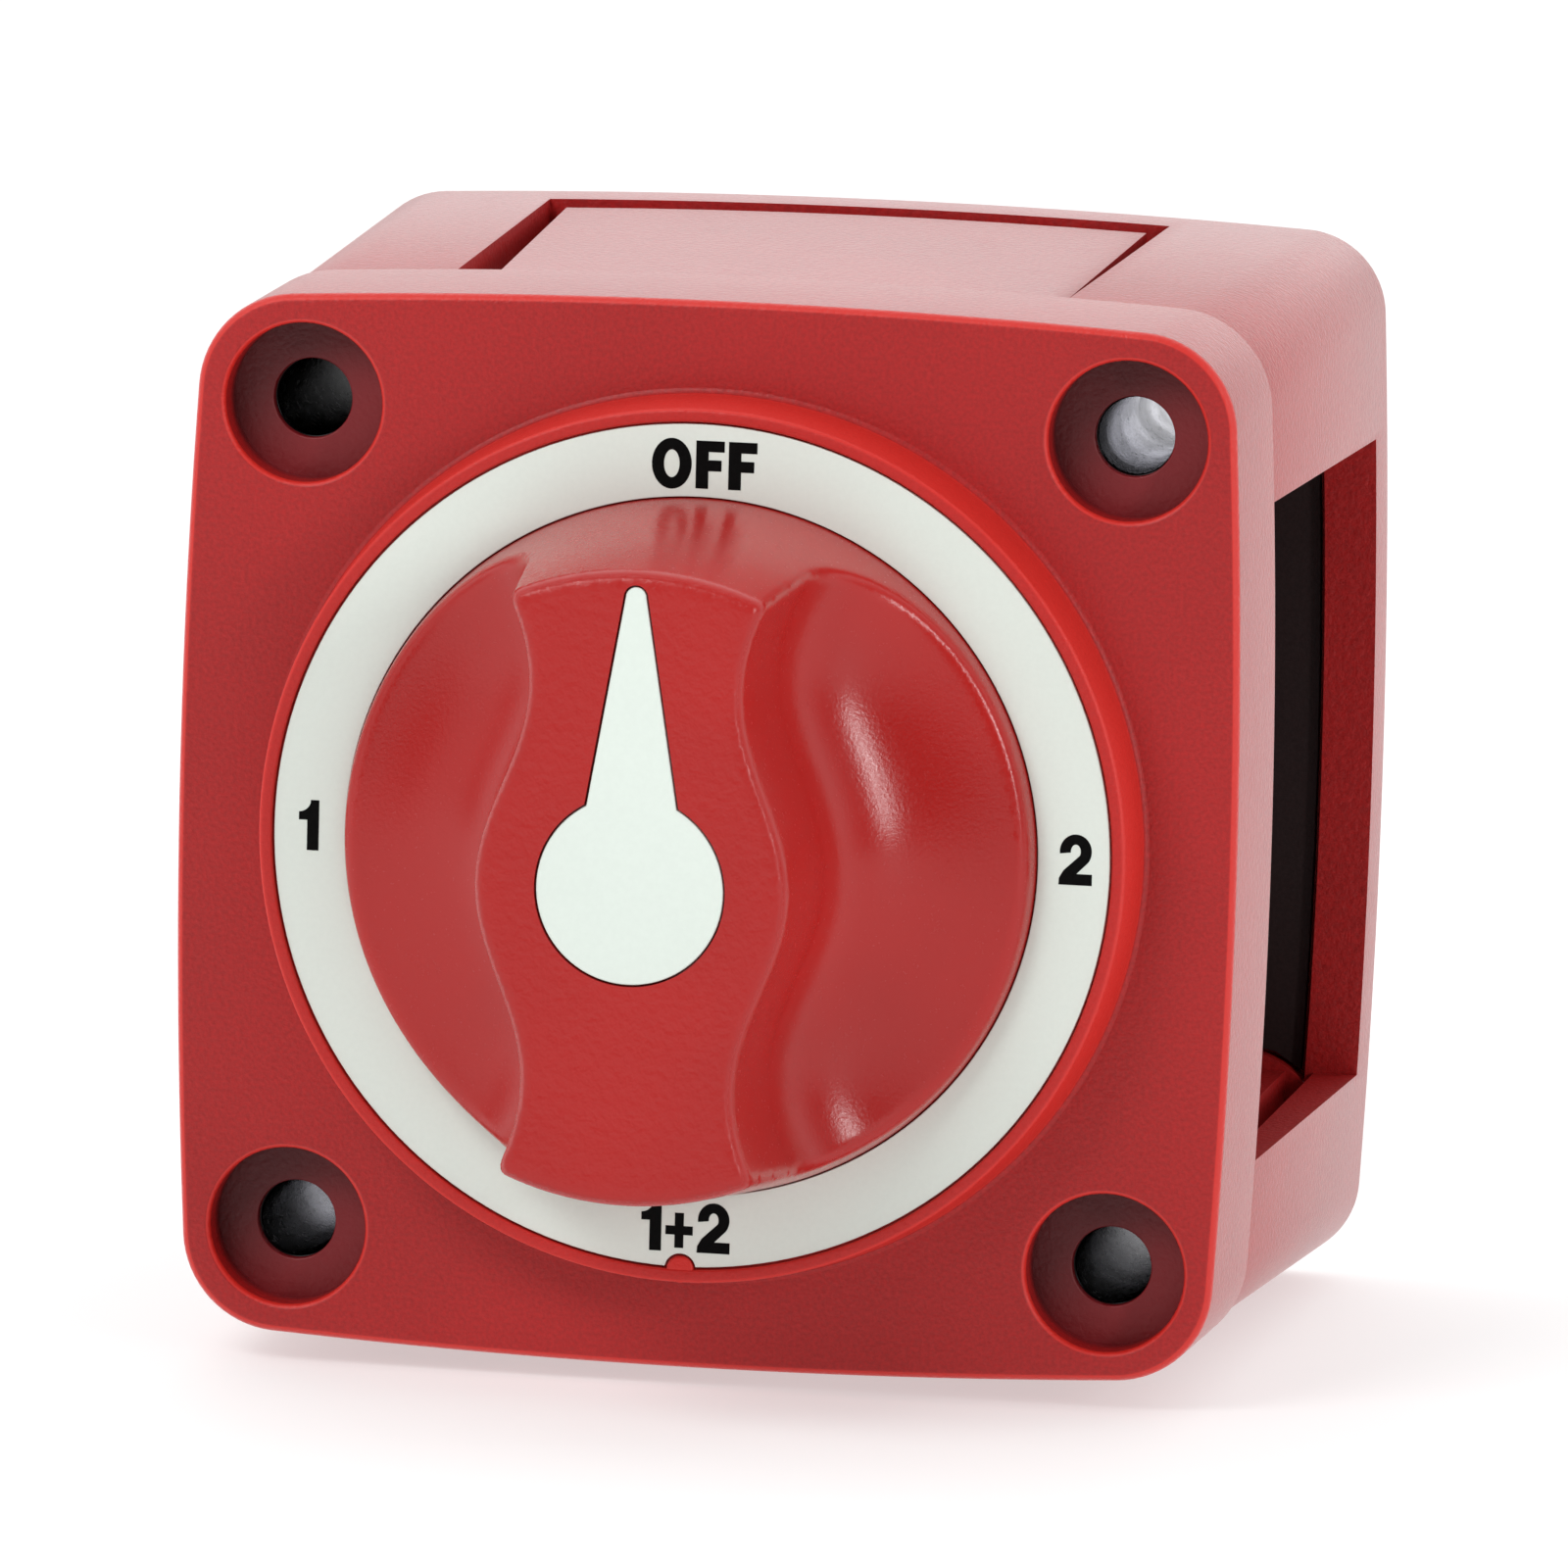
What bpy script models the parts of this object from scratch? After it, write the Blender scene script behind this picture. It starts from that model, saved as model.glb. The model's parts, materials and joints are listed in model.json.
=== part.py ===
"""Marine battery selector switch, modelled as its separate pieces.

Everything is drawn in the switch's own axes, in millimetres: x to the right, y up and z out of the
mounting surface towards the user, with z = 0 on the back of the rear cover and the knob turning about z.
One empty, switch_axes, carries all the pieces and tips them so that the front faces -Y and +Z is up.
"""

import math

import bmesh
import bpy

MM = 0.001
GAP = 0.3  # clearance between neighbouring pieces that touch in the real switch
OVERRUN = 1.0  # how far a cutter runs past the face that it opens

# Stack of the switch, heights above the mounting surface
BODY_DEPTH = 54.0  # front face of the housing
PARTING = 41.3  # where the front housing meets the rear cover
LABEL_TOP = BODY_DEPTH + 4.2
KNOB_TOP = BODY_DEPTH + 23.0
BACK_WALL = 2.6
FRONT_WALL = 3.2

# Outlines: half width at mid-side, bow of each side, corner radius
FRONT_OUTLINE = (33.6, 1.20, 6.25)
FLANGE_OUTLINE = (33.8, 1.20, 6.25)
COVER_OUTLINE = (33.45, 1.15, 6.10)
BACK_OUTLINE = (34.65, 1.05, 5.50)
EDGE_ROUND = 0.5
INNER_HALF = 31.2

# Corner fixings
HOLE_SPACING = 52.1
COUNTERBORE_RADIUS = 5.0
COUNTERBORE_DEPTH = 2.8
HOLE_RADIUS = 2.5
HOLE_LIP = 0.6
SLEEVE_BORE = 3.1
SLEEVE_RADIUS = 2.9
SLEEVE_HOLE = 2.4
POST_RADIUS = 6.4

# Dial
WELL_RADIUS = 22.3
LABEL_INNER = 22.05
LABEL_OUTER = 26.4
LABEL_THICKNESS = 0.4
BEZEL_INNER = 26.55
BEZEL_TOP_RADIUS = 27.35
BEZEL_BASE_RADIUS = 27.8
BEZEL_HEIGHT = 4.4
WELL_FLOOR = BODY_DEPTH - 0.8
KEY_RADIUS = 0.85

# Knob
KNOB_BASE_RADIUS = 21.8
KNOB_TOP_RADIUS = 19.45
KNOB_BOTTOM = BODY_DEPTH - 0.3
GRIP_CENTRE = 9.7  # half widths of the grip along its length
GRIP_NECK = 6.6
GRIP_NECK_AT = 12.2
GRIP_FLARE = 0.0455
SCOOP_FLOOR = LABEL_TOP + 2.0
SCOOP_WALL_FOOT = LABEL_TOP + 9.7
SCOOP_DRAFT = 0.062
SCOOP_REACH = 12.3
POCKET_DEPTH = 1.0
POINTER_HUB = 5.8
POINTER_SHOULDER = 2.8
POINTER_TIP_HALF = 0.65
POINTER_TIP_AT = 18.6

# Shaft and mechanism
SHAFT_RADIUS = 4.4
SHAFT_SQUARE = 7.0
SHAFT_TOP = 67.2
SOCKET_TOP = 67.5
SCREW_SEAT = 70.6
CASE_HALF = 23.5
CASE_CORNER = 8.0
CASE_BACK = 24.0
CASE_FLOOR = 28.0
CASE_TOP = 36.0
CASE_RADIUS = 20.5
DETENT_TOP = 47.6
DETENT_BORE = 15.2
LID_TOP = 50.0
FLANGE_TOP = 46.8
FLANGE_BOTTOM = 43.6
FLANGE_RADIUS = 14.0
NOTCH_DEPTH = 1.1
NOTCH_HALF_ANGLE = math.radians(9)
PLUNGER_AXIS = 45.2
PLUNGER_RADIUS = 2.3
PLUNGER_NOSE = 14.15
PLUNGER_TAIL = 18.3
PLUNGER_TRAVEL_ROOM = 22.0
CASE_SCREW_AT = 17.8
CASE_SCREW_HOLE = 1.8
CONTACT_BOTTOM = CASE_FLOOR + GAP
CONTACT_TOP = 30.3
BLADE_BOTTOM = CONTACT_TOP + GAP
BLADE_TOP = 32.6
BLADE_REACH = 14.6
BLADE_HALF_ANGLE = math.radians(68)
BOSS_SQUARE = 9.0

# Terminals
STUD_RADIUS = 4.75
STUD_END = 5.5
COLLAR_RADIUS = 9.0
COLLAR_BOTTOM = 22.2
TERMINAL_ROOM = 2.15  # between collar and washer, for a cable's ring terminal
WASHER_RADIUS = 8.0
WASHER_THICKNESS = 2.0
RIVET_RADIUS = 3.0
NUT_ACROSS_FLATS = 14.3
NUT_HEIGHT = 8.2
STUDS = {"common": (0.0, 12.5), "battery_1": (-12.5, -6.5), "battery_2": (12.5, -6.5)}

# Cable windows and their plates
SIDES = ("right", "top", "left", "bottom")
WINDOW_HALF = 20.9
WINDOW_BACK = 4.5
GROOVE_DEPTH = 1.8
GROOVE_HALF = 23.4
PLATED_WINDOW_BACK_ENDS = (-20.9, 20.2)  # the plated windows narrow towards the front
PLATED_WINDOW_FRONT_ENDS = (-19.5, 19.6)
PLATE_BACK_ENDS = (-19.5, 18.9)
PLATE_FRONT_ENDS = (-17.0, 19.3)
PLATE_BACK = 5.9
PLATE_RECESS = 0.35  # how far a plate sits below the cover's side

ROUND = 64
FINE = 32
SMALL = 16
PLATE_FACETS = 8

for leftover in list(bpy.data.objects):
    bpy.data.objects.remove(leftover)

parts = bpy.data.collections.new("battery_switch")
cutters = bpy.data.collections.new("cutters")
switch_axes = bpy.data.objects.new("switch_axes", None)


# ---------------------------------------------------------------- scene and materials


def set_up_scene():
    for collection in (parts, cutters):
        bpy.context.scene.collection.children.link(collection)
    cutters.hide_render = True
    switch_axes.rotation_euler = (math.pi / 2, 0, 0)
    parts.objects.link(switch_axes)


def plain_material(name, colour, roughness, metallic=0.0):
    material = bpy.data.materials.new(name)
    material.use_nodes = True
    shader = material.node_tree.nodes["Principled BSDF"]
    shader.inputs["Base Color"].default_value = (*colour, 1)
    shader.inputs["Roughness"].default_value = roughness
    shader.inputs["Metallic"].default_value = metallic
    return material


FINISHES = {
    "red_plastic": ((0.42, 0.028, 0.025), 0.5, 0.0),
    "label_white": ((0.78, 0.84, 0.76), 0.6, 0.0),
    "black_plastic": ((0.02, 0.02, 0.022), 0.45, 0.0),
    "grey_plastic": ((0.3, 0.31, 0.32), 0.4, 0.0),
    "rubber": ((0.015, 0.015, 0.015), 0.8, 0.0),
    "steel": ((0.55, 0.55, 0.56), 0.3, 1.0),
    "copper": ((0.72, 0.38, 0.24), 0.3, 1.0),
}


# ---------------------------------------------------------------- shape helpers


def add_object(name, bm, finish=None):
    """One object from a bmesh in millimetres. With no finish it is a cutter."""
    bmesh.ops.recalc_face_normals(bm, faces=bm.faces)
    bmesh.ops.scale(bm, vec=(MM, MM, MM), verts=bm.verts)
    mesh = bpy.data.meshes.new(name)
    bm.to_mesh(mesh)
    bm.free()
    return place(bpy.data.objects.new(name, mesh), finish)


def place(obj, finish=None):
    obj.parent = switch_axes
    if finish is None:
        cutters.objects.link(obj)
        obj.hide_render = True
        obj.display_type = "WIRE"
    else:
        parts.objects.link(obj)
        obj.data.materials.append(plain_material(obj.name + "_finish", *FINISHES[finish]))
    return obj


def prism(name, outline, bottom, top, finish=None):
    """A flat outline of (x, y) points, extruded from bottom to top."""
    bm = bmesh.new()
    face = bm.faces.new([bm.verts.new((x, y, bottom)) for x, y in outline])
    raised = bmesh.ops.extrude_face_region(bm, geom=[face])["geom"]
    moved = [item for item in raised if isinstance(item, bmesh.types.BMVert)]
    bmesh.ops.translate(bm, verts=moved, vec=(0, 0, top - bottom))
    return add_object(name, bm, finish)


def box(name, low, high, finish=None):
    bm = bmesh.new()
    bmesh.ops.create_cube(bm, size=1.0)
    bmesh.ops.scale(bm, vec=[b - a for a, b in zip(low, high)], verts=bm.verts)
    bmesh.ops.translate(bm, vec=[(a + b) / 2 for a, b in zip(low, high)], verts=bm.verts)
    return add_object(name, bm, finish)


def cylinder(name, at, radius, bottom, top, finish=None, segments=SMALL):
    bm = bmesh.new()
    bmesh.ops.create_cone(
        bm, cap_ends=True, segments=segments, radius1=radius, radius2=radius, depth=top - bottom
    )
    bmesh.ops.translate(bm, vec=(at[0], at[1], (bottom + top) / 2), verts=bm.verts)
    return add_object(name, bm, finish)


def turned(name, profile, finish=None, at=(0, 0), steps=FINE, ring=False):
    """A profile of (radius, z) points turned about z. It runs down the outer side, top to bottom."""
    bm = bmesh.new()
    points = [bm.verts.new((r * MM, 0, z * MM)) for r, z in profile]
    for a, b in zip(points, points[1:]):
        bm.edges.new((a, b))
    if ring:
        bm.edges.new((points[-1], points[0]))
    mesh = bpy.data.meshes.new(name)
    bm.to_mesh(mesh)
    bm.free()
    obj = place(bpy.data.objects.new(name, mesh), finish)
    obj.location = (at[0] * MM, at[1] * MM, 0)
    screw = obj.modifiers.new("turn", "SCREW")
    screw.steps = screw.render_steps = steps
    screw.use_merge_vertices = True
    screw.merge_threshold = 1e-6
    return obj


def ring(name, inner, outer, bottom, top, finish=None, at=(0, 0), steps=FINE):
    profile = [(outer, top), (outer, bottom), (inner, bottom), (inner, top)]
    return turned(name, profile, finish, at, steps, ring=True)


def loft(name, sections, finish=None):
    """A closed solid through sections of (x, y, z) points, each with the same number of them."""
    bm = bmesh.new()
    loops = [[bm.verts.new(point) for point in section] for section in sections]
    for low, high in zip(loops, loops[1:]):
        for i in range(len(low)):
            j = (i + 1) % len(low)
            bm.faces.new((low[i], low[j], high[j], high[i]))
    bm.faces.new(loops[0])
    bm.faces.new(loops[-1])
    return add_object(name, bm, finish)


def boolean(target, tool, operation):
    """Cuts or joins tool, which is left as a helper outside the model."""
    modifier = target.modifiers.new(tool.name, "BOOLEAN")
    modifier.operation = operation
    modifier.object = tool
    modifier.solver = "EXACT"


def cut(target, *tools):
    for tool in tools:
        boolean(target, tool, "DIFFERENCE")


def join(target, *tools):
    for tool in tools:
        boolean(target, tool, "UNION")


def smooth(obj, angle=35):
    obj.data.shade_smooth()
    obj.data.set_sharp_from_angle(angle=math.radians(angle))


# ---------------------------------------------------------------- outlines


def arc(centre, radius, start, end, count):
    """Points on an arc, both ends included. Angles in radians, anticlockwise from +x."""
    step = (end - start) / (count - 1)
    return [
        (centre[0] + radius * math.cos(start + i * step), centre[1] + radius * math.sin(start + i * step))
        for i in range(count)
    ]


def quarter_turns(points):
    """The four copies of one quarter of an outline, each a quarter turn on from the last."""
    outline = []
    for quarter in range(4):
        c, s = [(1, 0), (0, 1), (-1, 0), (0, -1)][quarter]
        outline += [(c * x - s * y, s * x + c * y) for x, y in points]
    return outline


def pillow(half, bow, corner, side_points=9, corner_points=6):
    """A square with four sides that bow outwards as arcs, and rounded corners."""
    side_radius = (half * half + bow * bow) / (2 * bow)
    side_centre = half - side_radius
    # each corner's arc is centred on the diagonal and touches both side arcs from inside
    apart = side_radius - corner
    middle = (side_centre + math.sqrt(2 * apart * apart - side_centre * side_centre)) / 2
    lean = math.atan2(middle, middle - side_centre)
    side = arc((side_centre, 0), side_radius, -lean, lean, side_points)
    turn = arc((middle, middle), corner, lean, math.pi / 2 - lean, corner_points)
    return quarter_turns(side + turn[1:-1])


def inset(outline_values, by):
    half, bow, corner = outline_values
    return (half - by, bow, max(corner - by, 0.5))


def at_height(outline, z):
    return [(x, y, z) for x, y in outline]


def rounded_square(half, corner, points=7):
    centre = half - corner
    return quarter_turns(arc((centre, centre), corner, 0, math.pi / 2, points))


def corners(spacing):
    half = spacing / 2
    return {
        "top_left": (-half, half),
        "top_right": (half, half),
        "bottom_right": (half, -half),
        "bottom_left": (-half, -half),
    }


HOLES = corners(HOLE_SPACING)


def pointer_outline(clearance):
    """The pointer's hub with its tapering spike along +y, grown by clearance on all sides."""
    hub = POINTER_HUB + clearance
    shoulder = POINTER_SHOULDER + clearance
    tip = POINTER_TIP_HALF + clearance
    start = math.asin(shoulder / hub)
    around = arc((0, 0), hub, math.pi / 2 + start, 2.5 * math.pi - start, 33)
    point = arc((0, POINTER_TIP_AT - POINTER_TIP_HALF), tip, 0, math.pi, 7)
    return around + point


# ---------------------------------------------------------------- housing


def front_housing():
    """Flange with four counterbored corners, a raised bezel and a well that the knob turns in."""
    top = BODY_DEPTH
    body = loft(
        "front_housing",
        [
            at_height(pillow(*FLANGE_OUTLINE), PARTING),
            at_height(pillow(*FRONT_OUTLINE), top - EDGE_ROUND),
            at_height(pillow(*inset(FRONT_OUTLINE, 0.15)), top - 0.15),
            at_height(pillow(*inset(FRONT_OUTLINE, EDGE_ROUND)), top),
        ],
        "red_plastic",
    )
    hollow = prism(
        "front_hollow",
        pillow(INNER_HALF, 1.1, 4.0),
        PARTING - OVERRUN,
        top - FRONT_WALL,
    )
    for corner, at in HOLES.items():
        tower = cylinder("tower_" + corner, at, POST_RADIUS, PARTING - 2 * OVERRUN, top - 0.5)
        cut(hollow, tower)
    cut(body, hollow)
    join(body, bezel())
    cut(
        body,
        cylinder("knob_well", (0, 0), WELL_RADIUS, WELL_FLOOR, LABEL_TOP + OVERRUN, segments=ROUND),
        cylinder("shaft_hole", (0, 0), SHAFT_RADIUS + 0.8, PARTING, WELL_FLOOR + OVERRUN, segments=FINE),
    )
    for corner, at in HOLES.items():
        seat = top - COUNTERBORE_DEPTH
        cut(
            body,
            cylinder("counterbore_" + corner, at, COUNTERBORE_RADIUS, seat, top + OVERRUN, segments=28),
            cylinder("hole_" + corner, at, HOLE_RADIUS, seat - 2 * HOLE_LIP, seat + OVERRUN),
            cylinder("sleeve_hole_" + corner, at, SLEEVE_BORE, PARTING - OVERRUN, seat - HOLE_LIP),
        )
    for at in case_screw_places():
        low = top - FRONT_WALL - OVERRUN
        cut(body, cylinder("screw_hole", at, CASE_SCREW_HOLE, low, LABEL_TOP - 1.9))
    smooth(body)


def bezel():
    """The raised ring, its label seat and the small half-round key that fits the label's notch."""
    seat = LABEL_TOP - LABEL_THICKNESS - 0.1
    rim = BODY_DEPTH + BEZEL_HEIGHT
    profile = [
        (BEZEL_TOP_RADIUS - 0.15, rim),
        (BEZEL_TOP_RADIUS, rim - 0.2),
        (BEZEL_BASE_RADIUS - 0.1, BODY_DEPTH + 0.6),
        (BEZEL_BASE_RADIUS + 0.5, BODY_DEPTH - 0.1),
        (BEZEL_BASE_RADIUS + 0.5, BODY_DEPTH - FRONT_WALL + 0.3),
        (WELL_RADIUS - OVERRUN, BODY_DEPTH - FRONT_WALL + 0.3),
        (WELL_RADIUS - OVERRUN, seat),
        (BEZEL_INNER, seat),
        (BEZEL_INNER, rim),
    ]
    shape = turned("bezel", profile, steps=ROUND, ring=True)
    key = cylinder("label_key", (0, -BEZEL_INNER), KEY_RADIUS, seat - 0.5, rim - 0.1, segments=20)
    join(shape, key)
    return shape


def label_ring():
    """The printed ring, notched at six o'clock to fit the key."""
    bottom = LABEL_TOP - LABEL_THICKNESS
    label = ring("label_ring", LABEL_INNER, LABEL_OUTER, bottom, LABEL_TOP, "label_white", steps=ROUND)
    notch = KEY_RADIUS + 0.15
    cut(label, cylinder("label_notch", (0, -BEZEL_INNER), notch, bottom - 1, LABEL_TOP + 1, segments=20))
    smooth(label)


def mounting_sleeves():
    """A metal liner through each corner, from the rear cover to just under the counterbore."""
    top = BODY_DEPTH - COUNTERBORE_DEPTH - HOLE_LIP - 0.1
    for corner, at in HOLES.items():
        sleeve = ring("mounting_sleeve_" + corner, SLEEVE_HOLE, SLEEVE_RADIUS, GAP, top, "steel", at, SMALL)
        smooth(sleeve)


def rear_cover():
    """Open-sided cover: back wall, four corner posts, and a cable window in each side."""
    body = loft(
        "rear_cover",
        [
            at_height(pillow(*inset(BACK_OUTLINE, EDGE_ROUND)), 0),
            at_height(pillow(*inset(BACK_OUTLINE, 0.15)), 0.15),
            at_height(pillow(*BACK_OUTLINE), EDGE_ROUND),
            at_height(pillow(*COVER_OUTLINE), PARTING - 0.1),
        ],
        "red_plastic",
    )
    hollow = prism("cover_hollow", pillow(INNER_HALF, 1.1, 4.0), BACK_WALL, PARTING + OVERRUN)
    for corner, at in HOLES.items():
        cut(hollow, cylinder("post_" + corner, at, POST_RADIUS, BACK_WALL - 1, PARTING + 2 * OVERRUN))
    cut(body, hollow)
    for turn, side in enumerate(SIDES):
        cut(body, window_cutter(side, turn))
    grooves()
    for side in SIDES:
        cut(body, bpy.data.objects["groove_" + side])
    for corner, at in HOLES.items():
        cut(body, cylinder("cover_hole_" + corner, at, SLEEVE_BORE, -OVERRUN, PARTING + OVERRUN))
    smooth(body)


def turned_outline(points, turn):
    """Points drawn for the top side, moved to the side that is turn quarter turns anticlockwise from it."""
    c, s = [(1, 0), (0, 1), (-1, 0), (0, -1)][turn % 4]
    return [(c * x - s * y, s * x + c * y) for x, y in points]


def window_cutter(side, turn):
    """Opens one side of the cover. The right window is straight and the plated ones taper slightly."""
    near, far = INNER_HALF / 2, BACK_OUTLINE[0] + OVERRUN
    ends = [PLATED_WINDOW_BACK_ENDS, PLATED_WINDOW_FRONT_ENDS]
    if side == "right":
        ends = [(-WINDOW_HALF, WINDOW_HALF)] * 2
    sections = []
    for (start, stop), z in zip(ends, (WINDOW_BACK, PARTING + OVERRUN)):
        outline = [(start, near), (stop, near), (stop, far), (start, far)]
        sections.append(at_height(turned_outline(outline, turn - 1), z))
    return loft("window_" + side, sections)


def grooves():
    """Slots in the posts, just inside the windows, that the side plates slide into."""
    low, high = INNER_HALF - GROOVE_DEPTH, INNER_HALF + 0.1
    slot = [(-GROOVE_HALF, low), (GROOVE_HALF, low), (GROOVE_HALF, high), (-GROOVE_HALF, high)]
    for turn, side in enumerate(SIDES):
        prism("groove_" + side, turned_outline(slot, turn - 1), WINDOW_BACK, PARTING + OVERRUN)


def plate_section(ends, z):
    """A side plate's outer slab at one height. Its outer face follows the cover's bowed, drafted side."""
    along = (z - EDGE_ROUND) / (PARTING - EDGE_ROUND)
    half = BACK_OUTLINE[0] + (COVER_OUTLINE[0] - BACK_OUTLINE[0]) * along
    bow = COVER_OUTLINE[1]
    start, stop = ends
    face = []
    for i in range(PLATE_FACETS + 1):
        x = stop + (start - stop) * i / PLATE_FACETS
        face.append((x, half - bow * (x / half) ** 2 - PLATE_RECESS))
    inner = INNER_HALF - 0.4
    return [(start, inner), (stop, inner), *face]


def side_plates():
    """Snap-in plates that close the windows no cable uses: an outer slab and a wider tongue behind it."""
    tongue_low, tongue_high = INNER_HALF - GROOVE_DEPTH + 0.2, INNER_HALF - 0.2
    tongue_half = GROOVE_HALF - 0.3
    front = PARTING - 0.2
    tongue = [(-tongue_half, tongue_low), (tongue_half, tongue_low)]
    tongue += [(tongue_half, tongue_high), (-tongue_half, tongue_high)]
    for turn, side in ((0, "top"), (1, "left"), (2, "bottom")):
        sections = []
        for ends, z in ((PLATE_BACK_ENDS, PLATE_BACK), (PLATE_FRONT_ENDS, front)):
            sections.append(at_height(turned_outline(plate_section(ends, z), turn), z))
        plate = loft("side_plate_" + side, sections, "red_plastic")
        join(plate, prism("tongue_" + side, turned_outline(tongue, turn), WINDOW_BACK + 0.2, front))


def back_insulator():
    """Black insulating sheet on the inside of the back wall, behind the terminals."""
    low, high = BACK_WALL + 0.2, BACK_WALL + 1.1
    sheet = prism("back_insulator", pillow(INNER_HALF - 0.4, 1.1, 3.6), low, high, "black_plastic")
    for corner, at in HOLES.items():
        cut(sheet, cylinder("sheet_post_" + corner, at, POST_RADIUS + 0.4, low - 1, high + 1))


# ---------------------------------------------------------------- knob


def grip_half_width(y):
    """Half width of the grip: widest at the hub, a waist on each side of it, flaring to the ends."""
    distance = abs(y)
    if distance > GRIP_NECK_AT:
        return GRIP_NECK + GRIP_FLARE * (distance - GRIP_NECK_AT) ** 2
    middle = (GRIP_CENTRE + GRIP_NECK) / 2
    return middle + (GRIP_CENTRE - GRIP_NECK) / 2 * math.cos(math.pi * distance / GRIP_NECK_AT)


def scoop_profile():
    """(distance from the grip's edge, z) down the finger scoop: a drafted wall, then a quarter ellipse."""
    foot = SCOOP_DRAFT * (KNOB_TOP - SCOOP_WALL_FOOT)
    above = KNOB_TOP + OVERRUN
    points = [(-SCOOP_DRAFT * (above - KNOB_TOP), above)]
    drop = SCOOP_WALL_FOOT - SCOOP_FLOOR
    count = 9
    for i in range(count + 1):
        angle = math.pi / 2 * i / count
        points.append((foot + SCOOP_REACH * (1 - math.cos(angle)), SCOOP_WALL_FOOT - drop * math.sin(angle)))
    return points


def scoop_cutter(side):
    """The solid that takes away one finger scoop. side is +1 to the right of the grip, -1 to the left."""
    outside = KNOB_BASE_RADIUS + 6
    reach = KNOB_BASE_RADIUS + OVERRUN
    steps = 24
    sections = []
    for i in range(steps + 1):
        y = -reach + 2 * reach * i / steps
        edge = grip_half_width(y)
        line = [(side * (edge + s), y, z) for s, z in scoop_profile()]
        line.append((side * (outside + 4), y, SCOOP_FLOOR))
        line.append((side * (outside + 4), y, KNOB_TOP + OVERRUN))
        sections.append(line)
    return loft("scoop_right" if side > 0 else "scoop_left", sections)


def knob():
    """The knob: a drafted plug with a finger scoop on each side of its grip, hollow underneath."""
    profile = [
        (0, KNOB_TOP),
        (KNOB_TOP_RADIUS - 0.35, KNOB_TOP),
        (KNOB_TOP_RADIUS, KNOB_TOP - 0.35),
        (KNOB_BASE_RADIUS, LABEL_TOP),
        (KNOB_BASE_RADIUS, KNOB_BOTTOM),
        (0, KNOB_BOTTOM),
    ]
    body = turned("knob", profile, "red_plastic", steps=ROUND)
    cut(body, scoop_cutter(1), scoop_cutter(-1))
    pocket = prism("pointer_pocket", pointer_outline(0.12), KNOB_TOP - POCKET_DEPTH, KNOB_TOP + OVERRUN)
    low = KNOB_BOTTOM - OVERRUN
    half = SHAFT_SQUARE / 2 + 0.2
    cut(
        body,
        pocket,
        ring("knob_underside", 8.0, 19.2, low, LABEL_TOP - 0.4, steps=FINE),
        box("shaft_socket", (-half, -half, low), (half, half, SOCKET_TOP)),
        cylinder("screw_head_hole", (0, 0), 3.8, SCREW_SEAT, KNOB_TOP, segments=SMALL),
        cylinder("screw_shank_hole", (0, 0), 2.3, SOCKET_TOP - 1, SCREW_SEAT + 1, segments=SMALL),
        box("grip_core_top", (-3.9, 8.6, low), (3.9, 16.2, KNOB_TOP - 3.6)),
        box("grip_core_bottom", (-3.9, -16.2, low), (3.9, -8.6, KNOB_TOP - 3.6)),
    )
    smooth(body, 30)


def pointer_insert():
    bottom = KNOB_TOP - POCKET_DEPTH + 0.05
    insert = prism("pointer_insert", pointer_outline(0), bottom, KNOB_TOP - 0.05, "label_white")
    smooth(insert)


def knob_fastening():
    """The screw under the pointer that holds the knob on its shaft, with its lock washer."""
    seat = SCREW_SEAT + 0.1
    ring("knob_washer", 2.15, 3.5, seat, seat + 0.5, "steel", steps=SMALL)
    head = seat + 0.65
    profile = [
        (0, head + 2.2),
        (2.4, head + 2.2),
        (3.3, head + 1.6),
        (3.5, head + 0.8),
        (3.5, head),
        (1.9, head),
        (1.9, SHAFT_TOP - 9.5),
        (1.2, SHAFT_TOP - 10.3),
        (0, SHAFT_TOP - 10.3),
    ]
    screw = turned("knob_screw", profile, "steel", steps=SMALL)
    for name, across in (("cross_slot_x", (2.0, 0.4)), ("cross_slot_y", (0.4, 2.0))):
        x, y = across
        cut(screw, box(name, (-x, -y, head + 0.9), (x, y, head + 2.2 + OVERRUN)))
    smooth(screw)


# ---------------------------------------------------------------- shaft and mechanism


def drive_shaft():
    """Square at both ends for the knob and the rotor, round where it passes the bearing and the seal."""
    half = SHAFT_SQUARE / 2
    bottom, top = DETENT_TOP - 0.4, KNOB_BOTTOM - GAP
    shaft = cylinder("drive_shaft", (0, 0), SHAFT_RADIUS, bottom, top, "steel", segments=FINE)
    join(
        shaft,
        box("shaft_upper", (-half, -half, WELL_FLOOR), (half, half, SHAFT_TOP)),
        box("shaft_lower", (-half, -half, 36.0), (half, half, DETENT_TOP)),
    )
    cut(shaft, cylinder("shaft_thread_hole", (0, 0), 2.2, SHAFT_TOP - 12, SHAFT_TOP + OVERRUN, segments=16))
    smooth(shaft)


def shaft_bearing_and_seal():
    top = WELL_FLOOR - 0.1
    bottom = BODY_DEPTH - FRONT_WALL + 0.1
    bearing = ring("shaft_bearing", SHAFT_RADIUS + 0.1, SHAFT_RADIUS + 0.7, bottom, top, "grey_plastic")
    smooth(bearing)
    middle, centre, thickness = SHAFT_RADIUS + 1.15, LID_TOP - 0.15, 0.75
    profile = [
        (middle + thickness * math.cos(-a), centre + thickness * math.sin(-a))
        for a in [2 * math.pi * i / 8 for i in range(8)]
    ]
    smooth(turned("shaft_seal", profile, "rubber", steps=28, ring=True), 80)


def case_screw_places():
    return list(corners(2 * CASE_SCREW_AT).values())


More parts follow.
